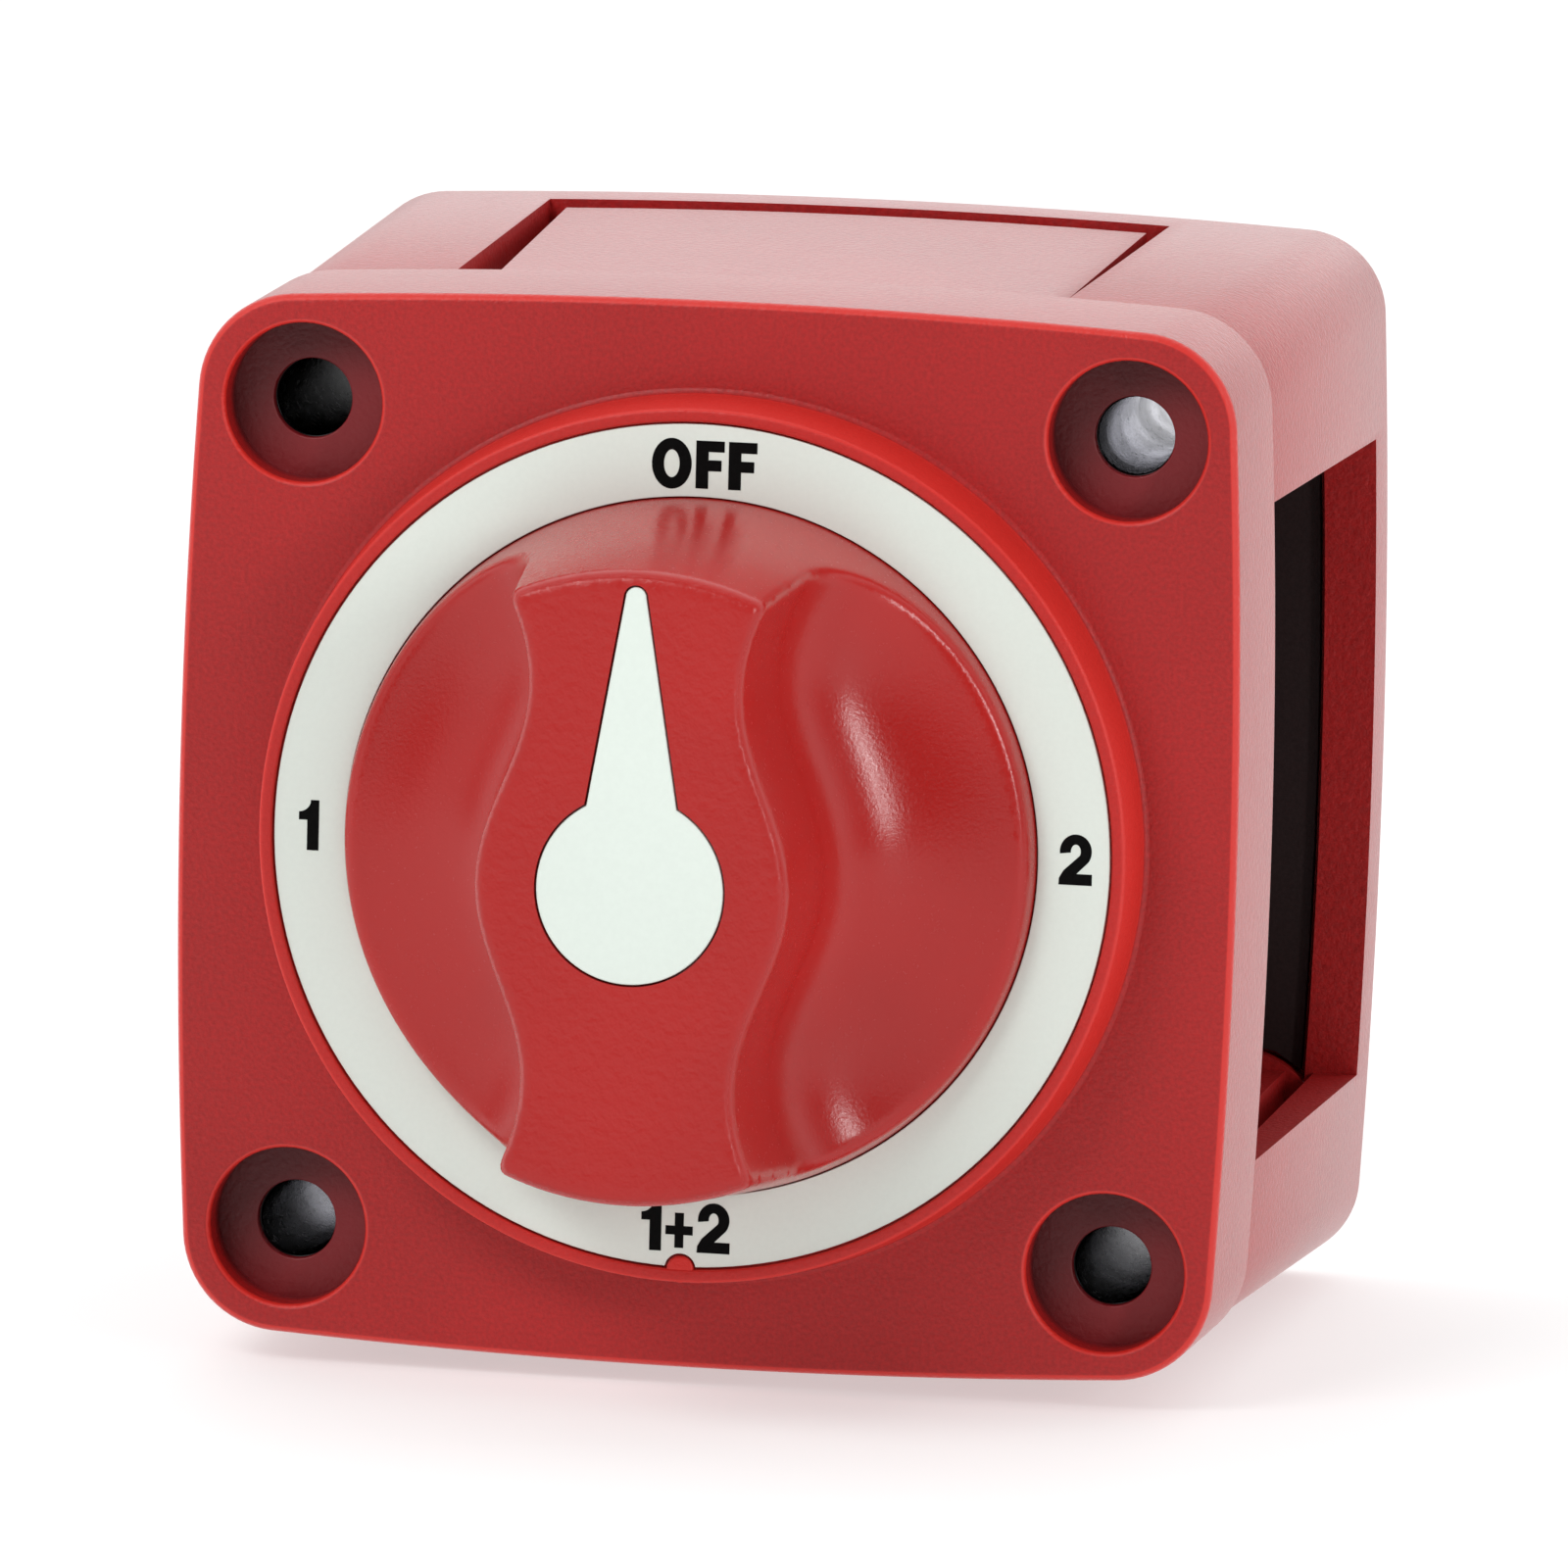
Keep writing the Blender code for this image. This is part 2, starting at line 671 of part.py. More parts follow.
def case_block(name, bottom, top, finish="black_plastic"):
    """A moulded block of the mechanism's outline, with the four screw holes through it."""
    block = prism(name, rounded_square(CASE_HALF, CASE_CORNER), bottom, top, finish)
    for i, at in enumerate(case_screw_places()):
        low, high = bottom - OVERRUN, top + OVERRUN
        hole = cylinder(f"{name}_screw_{i}", at, CASE_SCREW_HOLE, low, high, segments=12)
        cut(block, hole)
    return block


def contact_case():
    """Cup that holds the fixed contacts, with a hole for each terminal stud."""
    case = case_block("contact_case", CASE_BACK, CASE_TOP)
    cut(case, cylinder("case_hollow", (0, 0), CASE_RADIUS, CASE_FLOOR, CASE_TOP + OVERRUN, segments=FINE))
    for name, at in STUDS.items():
        low, high = CASE_BACK - OVERRUN, CASE_FLOOR + OVERRUN
        cut(case, cylinder("case_hole_" + name, at, STUD_RADIUS + 0.3, low, high))


def detent_housing():
    """Block round the rotor, with a slot on each side for a detent plunger and its spring."""
    housing = case_block("detent_housing", CASE_TOP + GAP, DETENT_TOP)
    room = PLUNGER_TRAVEL_ROOM
    half = PLUNGER_RADIUS + 0.3
    low = PLUNGER_AXIS - half
    cut(
        housing,
        cylinder("detent_bore", (0, 0), DETENT_BORE, CASE_TOP - OVERRUN, DETENT_TOP + OVERRUN, segments=FINE),
        box("detent_slots", (-room, -half, low), (room, half, DETENT_TOP + OVERRUN)),
    )


def case_lid():
    lid = case_block("case_lid", DETENT_TOP + GAP, LID_TOP)
    low, high = DETENT_TOP - OVERRUN, LID_TOP + OVERRUN
    cut(
        lid,
        cylinder("lid_hole", (0, 0), SHAFT_RADIUS + 0.3, low, high, segments=FINE),
        cylinder("seal_seat", (0, 0), SHAFT_RADIUS + 2.2, LID_TOP - 1.1, high, segments=FINE),
    )


def case_gasket():
    gasket = prism("case_gasket", rounded_square(22.8, 7.5), LID_TOP + 0.15, LID_TOP + 0.6, "rubber")
    cut(gasket, prism("gasket_opening", rounded_square(14.0, 4.0), LID_TOP, LID_TOP + 1))
    for i, at in enumerate(case_screw_places()):
        radius = CASE_SCREW_HOLE + 0.2
        cut(gasket, cylinder(f"gasket_screw_{i}", at, radius, LID_TOP, LID_TOP + 1, segments=12))


def case_screws():
    for number, at in enumerate(case_screw_places(), 1):
        head = CASE_BACK - 0.2
        profile = [
            (0, BODY_DEPTH + 1.6),
            (1.0, BODY_DEPTH + 1.6),
            (1.5, BODY_DEPTH + 0.8),
            (1.5, head),
            (2.8, head),
            (2.8, head - 1.6),
            (2.2, head - 2.2),
            (0, head - 2.2),
        ]
        smooth(turned(f"case_screw_{number}", profile, "steel", at, steps=16))


def notched_outline():
    """The rotor's detent flange: a circle with a shallow notch at each of the four positions."""
    outline = []
    count = 80
    for i in range(count):
        angle = 2 * math.pi * i / count
        off = abs((angle + math.pi / 4) % (math.pi / 2) - math.pi / 4)
        share = max(0.0, 1 - off / NOTCH_HALF_ANGLE)
        radius = FLANGE_RADIUS - NOTCH_DEPTH * (1 - math.cos(math.pi * share)) / 2
        outline.append((radius * math.cos(angle), radius * math.sin(angle)))
    return outline


def rotor():
    """Carries the contact blade and turns with the shaft. Its notched flange gives the four positions."""
    body = cylinder("rotor", (0, 0), 12.6, 34.0, FLANGE_BOTTOM + 0.5, "grey_plastic", segments=FINE)
    boss = BOSS_SQUARE / 2
    socket = SHAFT_SQUARE / 2 + 0.2
    join(
        body,
        prism("detent_flange", notched_outline(), FLANGE_BOTTOM, FLANGE_TOP),
        box("rotor_boss", (-boss, -boss, CONTACT_TOP + 0.6), (boss, boss, 34.5)),
    )
    cut(
        body,
        box("rotor_socket", (-socket, -socket, 35.6), (socket, socket, FLANGE_TOP + OVERRUN)),
        ring("spring_pocket", 6.9, 9.5, 33.0, 37.2),
    )
    smooth(body)


def contact_blade():
    """Copper sector that bridges the common ring and the battery contacts, driven by the rotor's boss."""
    disc = cylinder("contact_blade", (0, 0), 8.3, BLADE_BOTTOM, BLADE_TOP, "copper", segments=FINE)
    start = math.pi / 2 - BLADE_HALF_ANGLE
    sector = [(0.0, 0.0)] + arc((0, 0), BLADE_REACH, start, math.pi - start, 21)
    join(disc, prism("blade_sector", sector, BLADE_BOTTOM, BLADE_TOP))
    half = BOSS_SQUARE / 2 + 0.3
    cut(disc, box("blade_hole", (-half, -half, BLADE_BOTTOM - 1), (half, half, BLADE_TOP + 1)))
    smooth(disc)


def coil(name, radius, wire, start, end, turns):
    """A steel coil spring along z, as a bevelled curve."""
    points_per_turn = 11
    curve = bpy.data.curves.new(name, "CURVE")
    curve.dimensions = "3D"
    curve.bevel_depth = wire * MM
    curve.bevel_resolution = 1
    curve.use_fill_caps = True
    spline = curve.splines.new("POLY")
    count = int(turns * points_per_turn)
    spline.points.add(count)
    for i, point in enumerate(spline.points):
        angle = 2 * math.pi * turns * i / count
        z = start + (end - start) * i / count
        point.co = (radius * math.cos(angle) * MM, radius * math.sin(angle) * MM, z * MM, 1)
    return place(bpy.data.objects.new(name, curve), "steel")


def plunger_profile():
    """Down the outside of a detent plunger: a flat tail, a straight body and a hemispherical nose."""
    radius = PLUNGER_RADIUS
    nose = []
    for i in range(6):
        angle = math.pi / 2 * (1 - i / 5)
        nose.append((radius * math.sin(angle), PLUNGER_NOSE + radius * (1 - math.cos(angle))))
    return [(0, PLUNGER_TAIL), (radius, PLUNGER_TAIL)] + nose


def springs_and_plungers():
    """The blade's spring round the shaft, and a plunger with its spring on each side of the rotor."""
    coil("contact_spring", 8.2, 0.45, BLADE_TOP + 0.8, 36.4, turns=3)
    for side, sign in (("right", 1), ("left", -1)):
        plunger = turned("detent_plunger_" + side, plunger_profile(), "grey_plastic", steps=SMALL)
        smooth(plunger)
        start, end = PLUNGER_TAIL + 0.5, PLUNGER_TRAVEL_ROOM - 0.5
        spring = coil("detent_spring_" + side, 1.6, 0.3, start, end, turns=3)
        for obj in (plunger, spring):
            obj.rotation_euler = (0, sign * math.pi / 2, 0)
            obj.location = (0, 0, PLUNGER_AXIS * MM)


# ---------------------------------------------------------------- contacts and terminals


def fixed_contacts():
    """Copper plates on the case floor, one for each terminal. The common one has a ring round the centre."""
    for name, at in STUDS.items():
        pad_radius = 6.6 if name == "common" else 5.3
        pad = cylinder(name + "_contact", at, pad_radius, CONTACT_BOTTOM, CONTACT_TOP, "copper", segments=28)
        if name == "common":
            plate = (CONTACT_BOTTOM, CONTACT_TOP)
            join(
                pad,
                cylinder("common_disc", (0, 0), 8.3, *plate, segments=FINE),
                box("common_link", (-4, 0, plate[0]), (4, at[1], plate[1])),
            )
            cut(pad, cylinder("common_opening", (0, 0), 4.8, plate[0] - 1, plate[1] + 1, segments=28))
        rivet = RIVET_RADIUS + 0.2
        cut(pad, cylinder(name + "_rivet_hole", at, rivet, CONTACT_BOTTOM - 1, CONTACT_TOP + 1))
        smooth(pad)


def terminals():
    """Flanged studs through the case floor, each with a lock washer and a hexagon nut."""
    washer_top = COLLAR_BOTTOM - TERMINAL_ROOM
    washer_bottom = washer_top - WASHER_THICKNESS
    nut_top = washer_bottom - GAP
    for name, at in STUDS.items():
        profile = [
            (0, CONTACT_TOP - 0.2),
            (RIVET_RADIUS, CONTACT_TOP - 0.2),
            (RIVET_RADIUS, CASE_FLOOR - 0.2),
            (STUD_RADIUS, CASE_FLOOR - 0.2),
            (STUD_RADIUS, CASE_BACK - GAP),
            (COLLAR_RADIUS, CASE_BACK - GAP),
            (COLLAR_RADIUS, COLLAR_BOTTOM),
            (STUD_RADIUS, COLLAR_BOTTOM),
            (STUD_RADIUS, STUD_END + 0.8),
            (STUD_RADIUS - 0.8, STUD_END),
            (0, STUD_END),
        ]
        smooth(turned(name + "_stud", profile, "copper", at, steps=FINE // 2))
        hole = STUD_RADIUS + 0.3
        washer_name = name + "_lock_washer"
        washer = ring(washer_name, hole, WASHER_RADIUS, washer_bottom, washer_top, "steel", at, SMALL)
        low, high = washer_bottom - 1, washer_top + 1
        x, y = at
        slit = box(name + "_washer_slit", (x, y - 0.4, low), (x + WASHER_RADIUS + 1, y + 0.4, high))
        cut(washer, slit)
        smooth(washer)
        hexagon = NUT_ACROSS_FLATS / math.sqrt(3)
        nut = cylinder(name + "_nut", at, hexagon, nut_top - NUT_HEIGHT, nut_top, "steel", segments=6)
        cut(nut, cylinder(name + "_nut_hole", at, hole, nut_top - NUT_HEIGHT - 1, nut_top + 1))


# ---------------------------------------------------------------- assembly


def build():
    set_up_scene()
    front_housing()
    label_ring()
    mounting_sleeves()
    rear_cover()
    side_plates()
    back_insulator()
    knob()
    pointer_insert()
    knob_fastening()
    drive_shaft()
    shaft_bearing_and_seal()
    contact_case()
    detent_housing()
    case_lid()
    case_gasket()
    case_screws()
    rotor()
    contact_blade()
    springs_and_plungers()
    fixed_contacts()
    terminals()


build()
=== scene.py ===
"""Looks of the battery selector switch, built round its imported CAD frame.

Pieces are drawn in the switch's own axes, in millimetres: x to the right, y up and z out of the mounting
surface towards the user, with z = 0 on the rear cover's back. SWITCH_AXES turns them into the row frame.
"""

import json
import math

import bmesh
import bpy
import numpy as np
from mathutils import Matrix, Vector

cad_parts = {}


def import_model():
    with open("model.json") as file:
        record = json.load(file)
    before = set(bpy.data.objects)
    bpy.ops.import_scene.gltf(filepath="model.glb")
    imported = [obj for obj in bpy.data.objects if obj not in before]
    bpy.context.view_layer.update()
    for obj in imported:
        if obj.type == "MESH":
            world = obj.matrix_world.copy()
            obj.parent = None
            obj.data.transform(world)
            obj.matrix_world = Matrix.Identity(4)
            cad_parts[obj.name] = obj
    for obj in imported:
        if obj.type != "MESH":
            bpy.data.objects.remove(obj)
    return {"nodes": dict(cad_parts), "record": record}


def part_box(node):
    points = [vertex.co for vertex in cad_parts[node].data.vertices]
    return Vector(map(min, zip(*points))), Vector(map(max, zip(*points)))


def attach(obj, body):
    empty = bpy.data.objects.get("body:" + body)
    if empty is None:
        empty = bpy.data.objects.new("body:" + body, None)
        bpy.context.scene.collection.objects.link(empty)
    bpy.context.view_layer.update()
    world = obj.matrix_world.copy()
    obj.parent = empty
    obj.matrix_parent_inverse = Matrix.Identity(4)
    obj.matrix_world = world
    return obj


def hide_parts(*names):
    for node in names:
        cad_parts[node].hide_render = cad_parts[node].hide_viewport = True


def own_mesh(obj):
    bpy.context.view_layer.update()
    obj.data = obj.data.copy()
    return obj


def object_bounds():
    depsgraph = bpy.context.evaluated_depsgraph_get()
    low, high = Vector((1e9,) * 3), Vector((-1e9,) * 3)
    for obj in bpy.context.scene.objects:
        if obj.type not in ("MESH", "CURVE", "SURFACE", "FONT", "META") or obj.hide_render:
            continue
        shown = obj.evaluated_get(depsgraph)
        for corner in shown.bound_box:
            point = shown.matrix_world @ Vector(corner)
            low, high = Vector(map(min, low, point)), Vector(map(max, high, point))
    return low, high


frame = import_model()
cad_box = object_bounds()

MM = 0.001
SWITCH_AXES = Matrix(((MM, 0, 0, 0), (0, 0, -MM, 0), (0, MM, 0, 0), (0, 0, 0, 1)))
NODES = frame["nodes"]


# ---------------------------------------------------------------- dimensions, in millimetres


def local_box(node):
    """A CAD node's lowest and highest corner in the switch's own axes."""
    low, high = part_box(node)
    return (
        (low.x / MM, low.z / MM, -high.y / MM),
        (high.x / MM, high.z / MM, -low.y / MM),
    )


KNOB_TOP = local_box("knob")[1][2]
LABEL_TOP = local_box("label_ring")[1][2]
LABEL_OUTER = local_box("label_ring")[1][0]
LABEL_HEIGHT = 4.2  # above the front face
BODY_DEPTH = LABEL_TOP - LABEL_HEIGHT
PARTING = local_box("front_housing")[0][2]
SEAM = 0.1
COVER_TOP = PARTING - SEAM

# Outlines: half width at mid-side, bow of each side, corner radius
FRONT_OUTLINE = (33.6, 1.20, 6.25)
FLANGE_OUTLINE = (33.8, 1.20, 6.25)
COVER_OUTLINE = (33.45, 1.15, 6.10)
BACK_OUTLINE = (34.65, 1.05, 5.50)
INNER_OUTLINE = (31.2, 1.10, 4.00)
INNER_HALF = INNER_OUTLINE[0]
EDGE_ROUND = 0.55
SEAM_ROUND = 0.12
FRONT_WALL = 3.2
BACK_WALL = 2.6
OUTSIDE_REACH = 29.5  # the body's outer faces are all further out than this, and its inner ones aren't
CLEAR = 1.0  # how far a cutter runs past the face that it opens

# Corner fixings
SLEEVE_BOX = local_box("mounting_sleeve_top_right")
HOLE_HALF = (SLEEVE_BOX[0][0] + SLEEVE_BOX[1][0]) / 2
COUNTERBORE_RADIUS = 5.0
COUNTERBORE_DEPTH = 2.8
COUNTERBORE_SEAT = BODY_DEPTH - COUNTERBORE_DEPTH
COUNTERBORE_ROUND = 0.35
HOLE_RADIUS = 2.5
HOLE_LIP = 0.6
HOLE_ROUND = 0.12
SLEEVE_BORE = 3.1
SLEEVE_RADIUS = 2.9
SLEEVE_HOLE = 2.4
SLEEVE_FOOT = 0.3
SLEEVE_TOP = COUNTERBORE_SEAT - HOLE_LIP - 0.1
SLEEVE_ROUND = 0.15
POST_RADIUS = 6.4

# Dial
LABEL_INNER = 21.88
LABEL_THICKNESS = 0.4
WELL_RADIUS = 22.3
BEZEL_INNER = LABEL_OUTER + 0.15
BEZEL_TOP_RADIUS = 27.35
BEZEL_BASE_RADIUS = 27.8
BEZEL_RIM = BODY_DEPTH + 4.4
BEZEL_ROOT = 0.6  # how far the bezel's root runs out under the front face
BEZEL_FILLET = 0.45
WELL_FLOOR = BODY_DEPTH - 0.8
SHAFT_HOLE = 5.2
KEY_RADIUS = 0.85
CAP_HEIGHT = 2.98
LETTER_GAP = 0.09  # in capital heights
INK_THICKNESS = 0.03
INK_SINK = 0.01
DIAL_PLACES = {"OFF": (0.35, 23.9), "1": (-24.2, 0.05), "2": (24.25, 0.4), "1+2": (0.3, -23.95)}

# Knob
KNOB_BASE_RADIUS = 21.8
KNOB_TOP_RADIUS = 19.45
KNOB_BOTTOM = local_box("knob")[0][2]
GRIP_CENTRE = 9.7
GRIP_NECK = 6.6
GRIP_NECK_AT = 12.2
GRIP_FLARE = 0.0455
SCOOP_FLOOR = LABEL_TOP + 2.0
SCOOP_WALL_FOOT = LABEL_TOP + 9.7
SCOOP_DRAFT = 0.062
SCOOP_REACH = 12.3
KNOB_EDGE = 0.9
KNOB_STEP = 0.32  # the grid that its skin is drawn on
DIMPLE_AT = (9.3, 9.4, 66.5)
DIMPLE_RADIUS = 0.7
POCKET_DEPTH = 1.0
POCKET_GAP = 0.12
POINTER_HUB = 5.8
POINTER_SHOULDER = 2.8
POINTER_TIP_HALF = 0.65
POINTER_TIP_AT = 18.6
POINTER_SINK = 0.05
POINTER_EDGE = 0.1
UNDERSIDE_RADII = (8.0, 19.2)
SOCKET_HALF = 3.7
SOCKET_TOP = 67.5
SHANK_HOLE = (2.3, 66.5, 71.6)  # radius, bottom and top
HEAD_HOLE = (3.8, 70.6)  # radius and bottom

# Cable windows and their plates
WINDOW_HALF = 20.9
PLATED_WINDOW_BACK_ENDS = (-20.9, 20.2)
PLATED_WINDOW_FRONT_ENDS = (-19.5, 19.6)
WINDOW_BACK = 4.5
GROOVE_DEPTH = 1.8
GROOVE_HALF = 23.4

# Round marks that the mould's ejector pins left on the back
EJECTOR_RADIUS = 1.9
EJECTOR_DEPTH = 0.12
EJECTOR_CIRCLE = 19.0
EJECTOR_SIDE = 29.5

# Springs: coil radius and wire radius
BLADE_SPRING = (8.2, 0.45)
PLUNGER_SPRING = (1.6, 0.3)

HOLES = {
    "top_left": (-HOLE_HALF, HOLE_HALF),
    "top_right": (HOLE_HALF, HOLE_HALF),
    "bottom_right": (HOLE_HALF, -HOLE_HALF),
    "bottom_left": (-HOLE_HALF, -HOLE_HALF),
}

# Camera: where it stands in the row frame, in metres, and how it is tipped
CAMERA_AT = Vector((0.1749, -0.9475, 0.1361))
CAMERA_AZIMUTH = math.radians(10.764)
CAMERA_ELEVATION = math.radians(8.286)
CAMERA_ROLL = math.radians(1.413)
CAMERA_LENS = 339.64
CAMERA_SENSOR = 36

# Lights: where each stands, its width and height in metres, and its power in watts
LIGHTS_AIM = (0, -0.05, 0)
LIGHTS = {
    "key": ((-0.176, -0.364, 0.303), (0.22, 0.165), 0.93),
    "right_strip": ((0.75, -0.55, 0.25), (0.09, 0.32), 2.55),
    "fill": ((-0.8, -0.5, 0.15), (0.5, 0.7), 0.9),
}

# Surroundings: how bright they are on the camera's side and behind, and how much more comes from above
DIM_SIDE = 0.05
BRIGHT_SIDE = 1.15
ABOVE = 0.3

# Floor
FLOOR_GLOW = 0.5
FLOOR_HALF = 6.0
FLOOR_DROP = 0.0002

# Looks: colours, the haze on the red body, and each liner's painted light: its brightness, painted in place
# of its reflections, the depth in millimetres of the painted shade at its mouth, and the fade between them in
# millimetres
HOUSING_COLOUR = (0.40, 0.010, 0.010)
# painted highlight: the lighter red painted on the front face's rounded rim and on the bezel's sides
RIM_HIGHLIGHT_COLOUR = (0.60, 0.022, 0.016)
# painted shade: the darker red of the counterbore floors and the lower part of their walls, scaled by the two
# levels below from darker at each floor's upper left to lighter at its lower right
PAINTED_RECESS_SHADE = (0.11, 0.006, 0.008)
PAINTED_RECESS_SHADE_LEVELS = (0.75, 1.9)
KNOB_COLOUR = (0.39, 0.010, 0.008)
DIAL_COLOUR = (0.71, 0.78, 0.72)
INK_COLOUR = (0.003, 0.003, 0.003)
LINER_DARK = (0.004, 0.004, 0.004, 1)
LINER_BRIGHT = (0.93, 0.93, 0.97, 1)
SHEEN = 0.6
LINER_PAINTED_LIGHT = {
    "top_left": (0.04, 6, 2),
    "top_right": (1.0, 3.2, 0.8),
    "bottom_right": (0.35, 4, 4),
    "bottom_left": (0.7, 8, 8),
}


# ---------------------------------------------------------------- mesh helpers


def finish_mesh(name, mesh, body, material, replaces=(), sharp=35):
    """Turns a mesh drawn in the switch's axes into a piece that rides on a body."""
    mesh.materials.clear()
    mesh.materials.append(material)
    if material == HOUSING_RED:
        split_off_recesses(mesh)
    mesh.transform(SWITCH_AXES)
    obj = bpy.data.objects.new(name, mesh)
    bpy.context.scene.collection.objects.link(obj)
    mesh.shade_smooth()
    mesh.set_sharp_from_angle(angle=math.radians(sharp))
    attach(obj, body)
    if replaces:
        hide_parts(*replaces)
    return obj


def split_off_recesses(mesh):
    """Gives the faces that aren't on the body's outside the red without the haze."""
    mesh.materials.append(RECESS_RED)
    for face in mesh.polygons:
        x, y, z = face.center
        facing = face.normal
        if abs(facing.z) > 0.7:
            outside = z < 1 or abs(z - BODY_DEPTH) < 0.3
        elif z > BODY_DEPTH + 0.1:
            outside = False
        elif abs(facing.x) > abs(facing.y):
            outside = x * facing.x > OUTSIDE_REACH * abs(facing.x)
        else:
            outside = y * facing.y > OUTSIDE_REACH * abs(facing.y)
        from_hole = math.hypot(abs(x) - HOLE_HALF, abs(y) - HOLE_HALF)
        in_hole = from_hole < COUNTERBORE_RADIUS + 0.25 and 2 < z < BODY_DEPTH - 0.2
        face.material_index = 0 if outside and not in_hole else 1


def mesh_from(name, bm):
    bmesh.ops.recalc_face_normals(bm, faces=bm.faces)
    mesh = bpy.data.meshes.new(name)
    bm.to_mesh(mesh)
    bm.free()
    return mesh


def prism(outline, bottom, top):
    """A flat outline of (x, y) points, extruded from bottom to top."""
    return loft([at_height(outline, bottom), at_height(outline, top)])


def box(low, high):
    bm = bmesh.new()
    bmesh.ops.create_cube(bm, size=1.0)
    bmesh.ops.scale(bm, vec=[b - a for a, b in zip(low, high)], verts=bm.verts)
    bmesh.ops.translate(bm, vec=[(a + b) / 2 for a, b in zip(low, high)], verts=bm.verts)
    return mesh_from("box", bm)


def cylinder(at, radius, bottom, top, segments=64):
    return turned([(0, top), (radius, top), (radius, bottom), (0, bottom)], at, segments)


def turned(profile, at=(0, 0), steps=96, closed=False):
    """A profile of (radius, z) points turned about z. closed joins its last point to its first."""
    bm = bmesh.new()
    rings = []
    for radius, z in profile:
        if radius < 1e-6:
            rings.append([bm.verts.new((at[0], at[1], z))])
            continue
        turn = [2 * math.pi * i / steps for i in range(steps)]
        around = [(at[0] + radius * math.cos(a), at[1] + radius * math.sin(a), z) for a in turn]
        rings.append([bm.verts.new(point) for point in around])
    pairs = list(zip(rings, rings[1:]))
    if closed:
        pairs.append((rings[-1], rings[0]))
    for upper, lower in pairs:
        for i in range(steps):
            j = (i + 1) % steps
            corners = [upper[k % len(upper)] for k in (i, j)] + [lower[k % len(lower)] for k in (j, i)]
            distinct = list(dict.fromkeys(corners))
            if len(distinct) > 2:
                bm.faces.new(distinct)
    return mesh_from("turned", bm)


def ring(inner, outer, bottom, top, at=(0, 0), steps=96, edge=0.0):
    """A flat ring. edge rounds its four corners off."""
    profile = rounded_profile([(outer, top), (outer, bottom), (inner, bottom), (inner, top)], edge, True)
    return turned(profile, at, steps, closed=True)


def rounded_profile(points, radius, closed=False, steps=4):
    """The points of a profile with each corner rounded off. radius is one number, or one for each point."""
    if not radius:
        return list(points)
    radii = [radius] * len(points) if isinstance(radius, (int, float)) else radius
    rounded = []
    count = len(points)
    for i, point in enumerate(points):
        if radii[i] == 0 or (not closed and i in (0, count - 1)):
            rounded.append(point)
            continue
        here = Vector(point)
        back = (Vector(points[i - 1]) - here).normalized()
        ahead = (Vector(points[(i + 1) % count]) - here).normalized()
        half = math.acos(max(-1.0, min(1.0, back.dot(ahead)))) / 2
        reach = radii[i] / math.tan(half)
        centre = here + (back + ahead).normalized() * (radii[i] / math.sin(half))
        first, last = here + back * reach - centre, here + ahead * reach - centre
        for step in range(steps + 1):
            towards = first.slerp(last, step / steps).normalized()
            rounded.append(tuple(centre + towards * radii[i]))
    return rounded


def loft(sections):
    """A closed solid through sections of (x, y, z) points, each with the same number of them."""
    bm = bmesh.new()
    loops = [[bm.verts.new(point) for point in section] for section in sections]
    for low, high in zip(loops, loops[1:]):
        for i in range(len(low)):
            j = (i + 1) % len(low)
            bm.faces.new((low[i], low[j], high[j], high[i]))
    bm.faces.new(loops[0])
    bm.faces.new(loops[-1])
    return mesh_from("loft", bm)


def combine(mesh, tools, operation):
    """Cuts the tool meshes out of mesh, or joins them to it, and returns the new mesh."""
    target = bpy.data.objects.new("target", mesh)
    bpy.context.scene.collection.objects.link(target)
    helpers = []
    for tool in tools:
        helper = bpy.data.objects.new("tool", tool)
        bpy.context.scene.collection.objects.link(helper)
        helpers.append(helper)
        modifier = target.modifiers.new("boolean", "BOOLEAN")
        modifier.operation = operation
        modifier.object = helper
        modifier.solver = "EXACT"
    graph = bpy.context.evaluated_depsgraph_get()
    made = bpy.data.meshes.new_from_object(target.evaluated_get(graph))
    for helper in [target, *helpers]:
        bpy.data.objects.remove(helper)
    return made


def cut(mesh, *tools):
    return combine(mesh, tools, "DIFFERENCE")


def join(mesh, *tools):
    return combine(mesh, tools, "UNION")


# ---------------------------------------------------------------- outlines


def arc(centre, radius, start, end, count):
    """Points on an arc, both ends included. Angles in radians, anticlockwise from +x."""
    step = (end - start) / (count - 1)
    return [
        (centre[0] + radius * math.cos(start + i * step), centre[1] + radius * math.sin(start + i * step))
        for i in range(count)
    ]


def quarter_turns(points):
    outline = []
    for c, s in [(1, 0), (0, 1), (-1, 0), (0, -1)]:
        outline += [(c * x - s * y, s * x + c * y) for x, y in points]
    return outline


def pillow(half, bow, corner, side_points=25, corner_points=17):
    """A square with four sides that bow outwards as arcs, and rounded corners."""
    side_radius = (half * half + bow * bow) / (2 * bow)
    side_centre = half - side_radius
    # each corner's arc is centred on the diagonal and touches both side arcs from inside
    apart = side_radius - corner
    middle = (side_centre + math.sqrt(2 * apart * apart - side_centre * side_centre)) / 2
    lean = math.atan2(middle, middle - side_centre)
    side = arc((side_centre, 0), side_radius, -lean, lean, side_points)
    turn = arc((middle, middle), corner, lean, math.pi / 2 - lean, corner_points)
    return quarter_turns(side + turn[1:-1])


def inset(outline_values, by):
    half, bow, corner = outline_values
    return (half - by, bow, max(corner - by, 0.5))


def at_height(outline, z):
    return [(x, y, z) for x, y in outline]


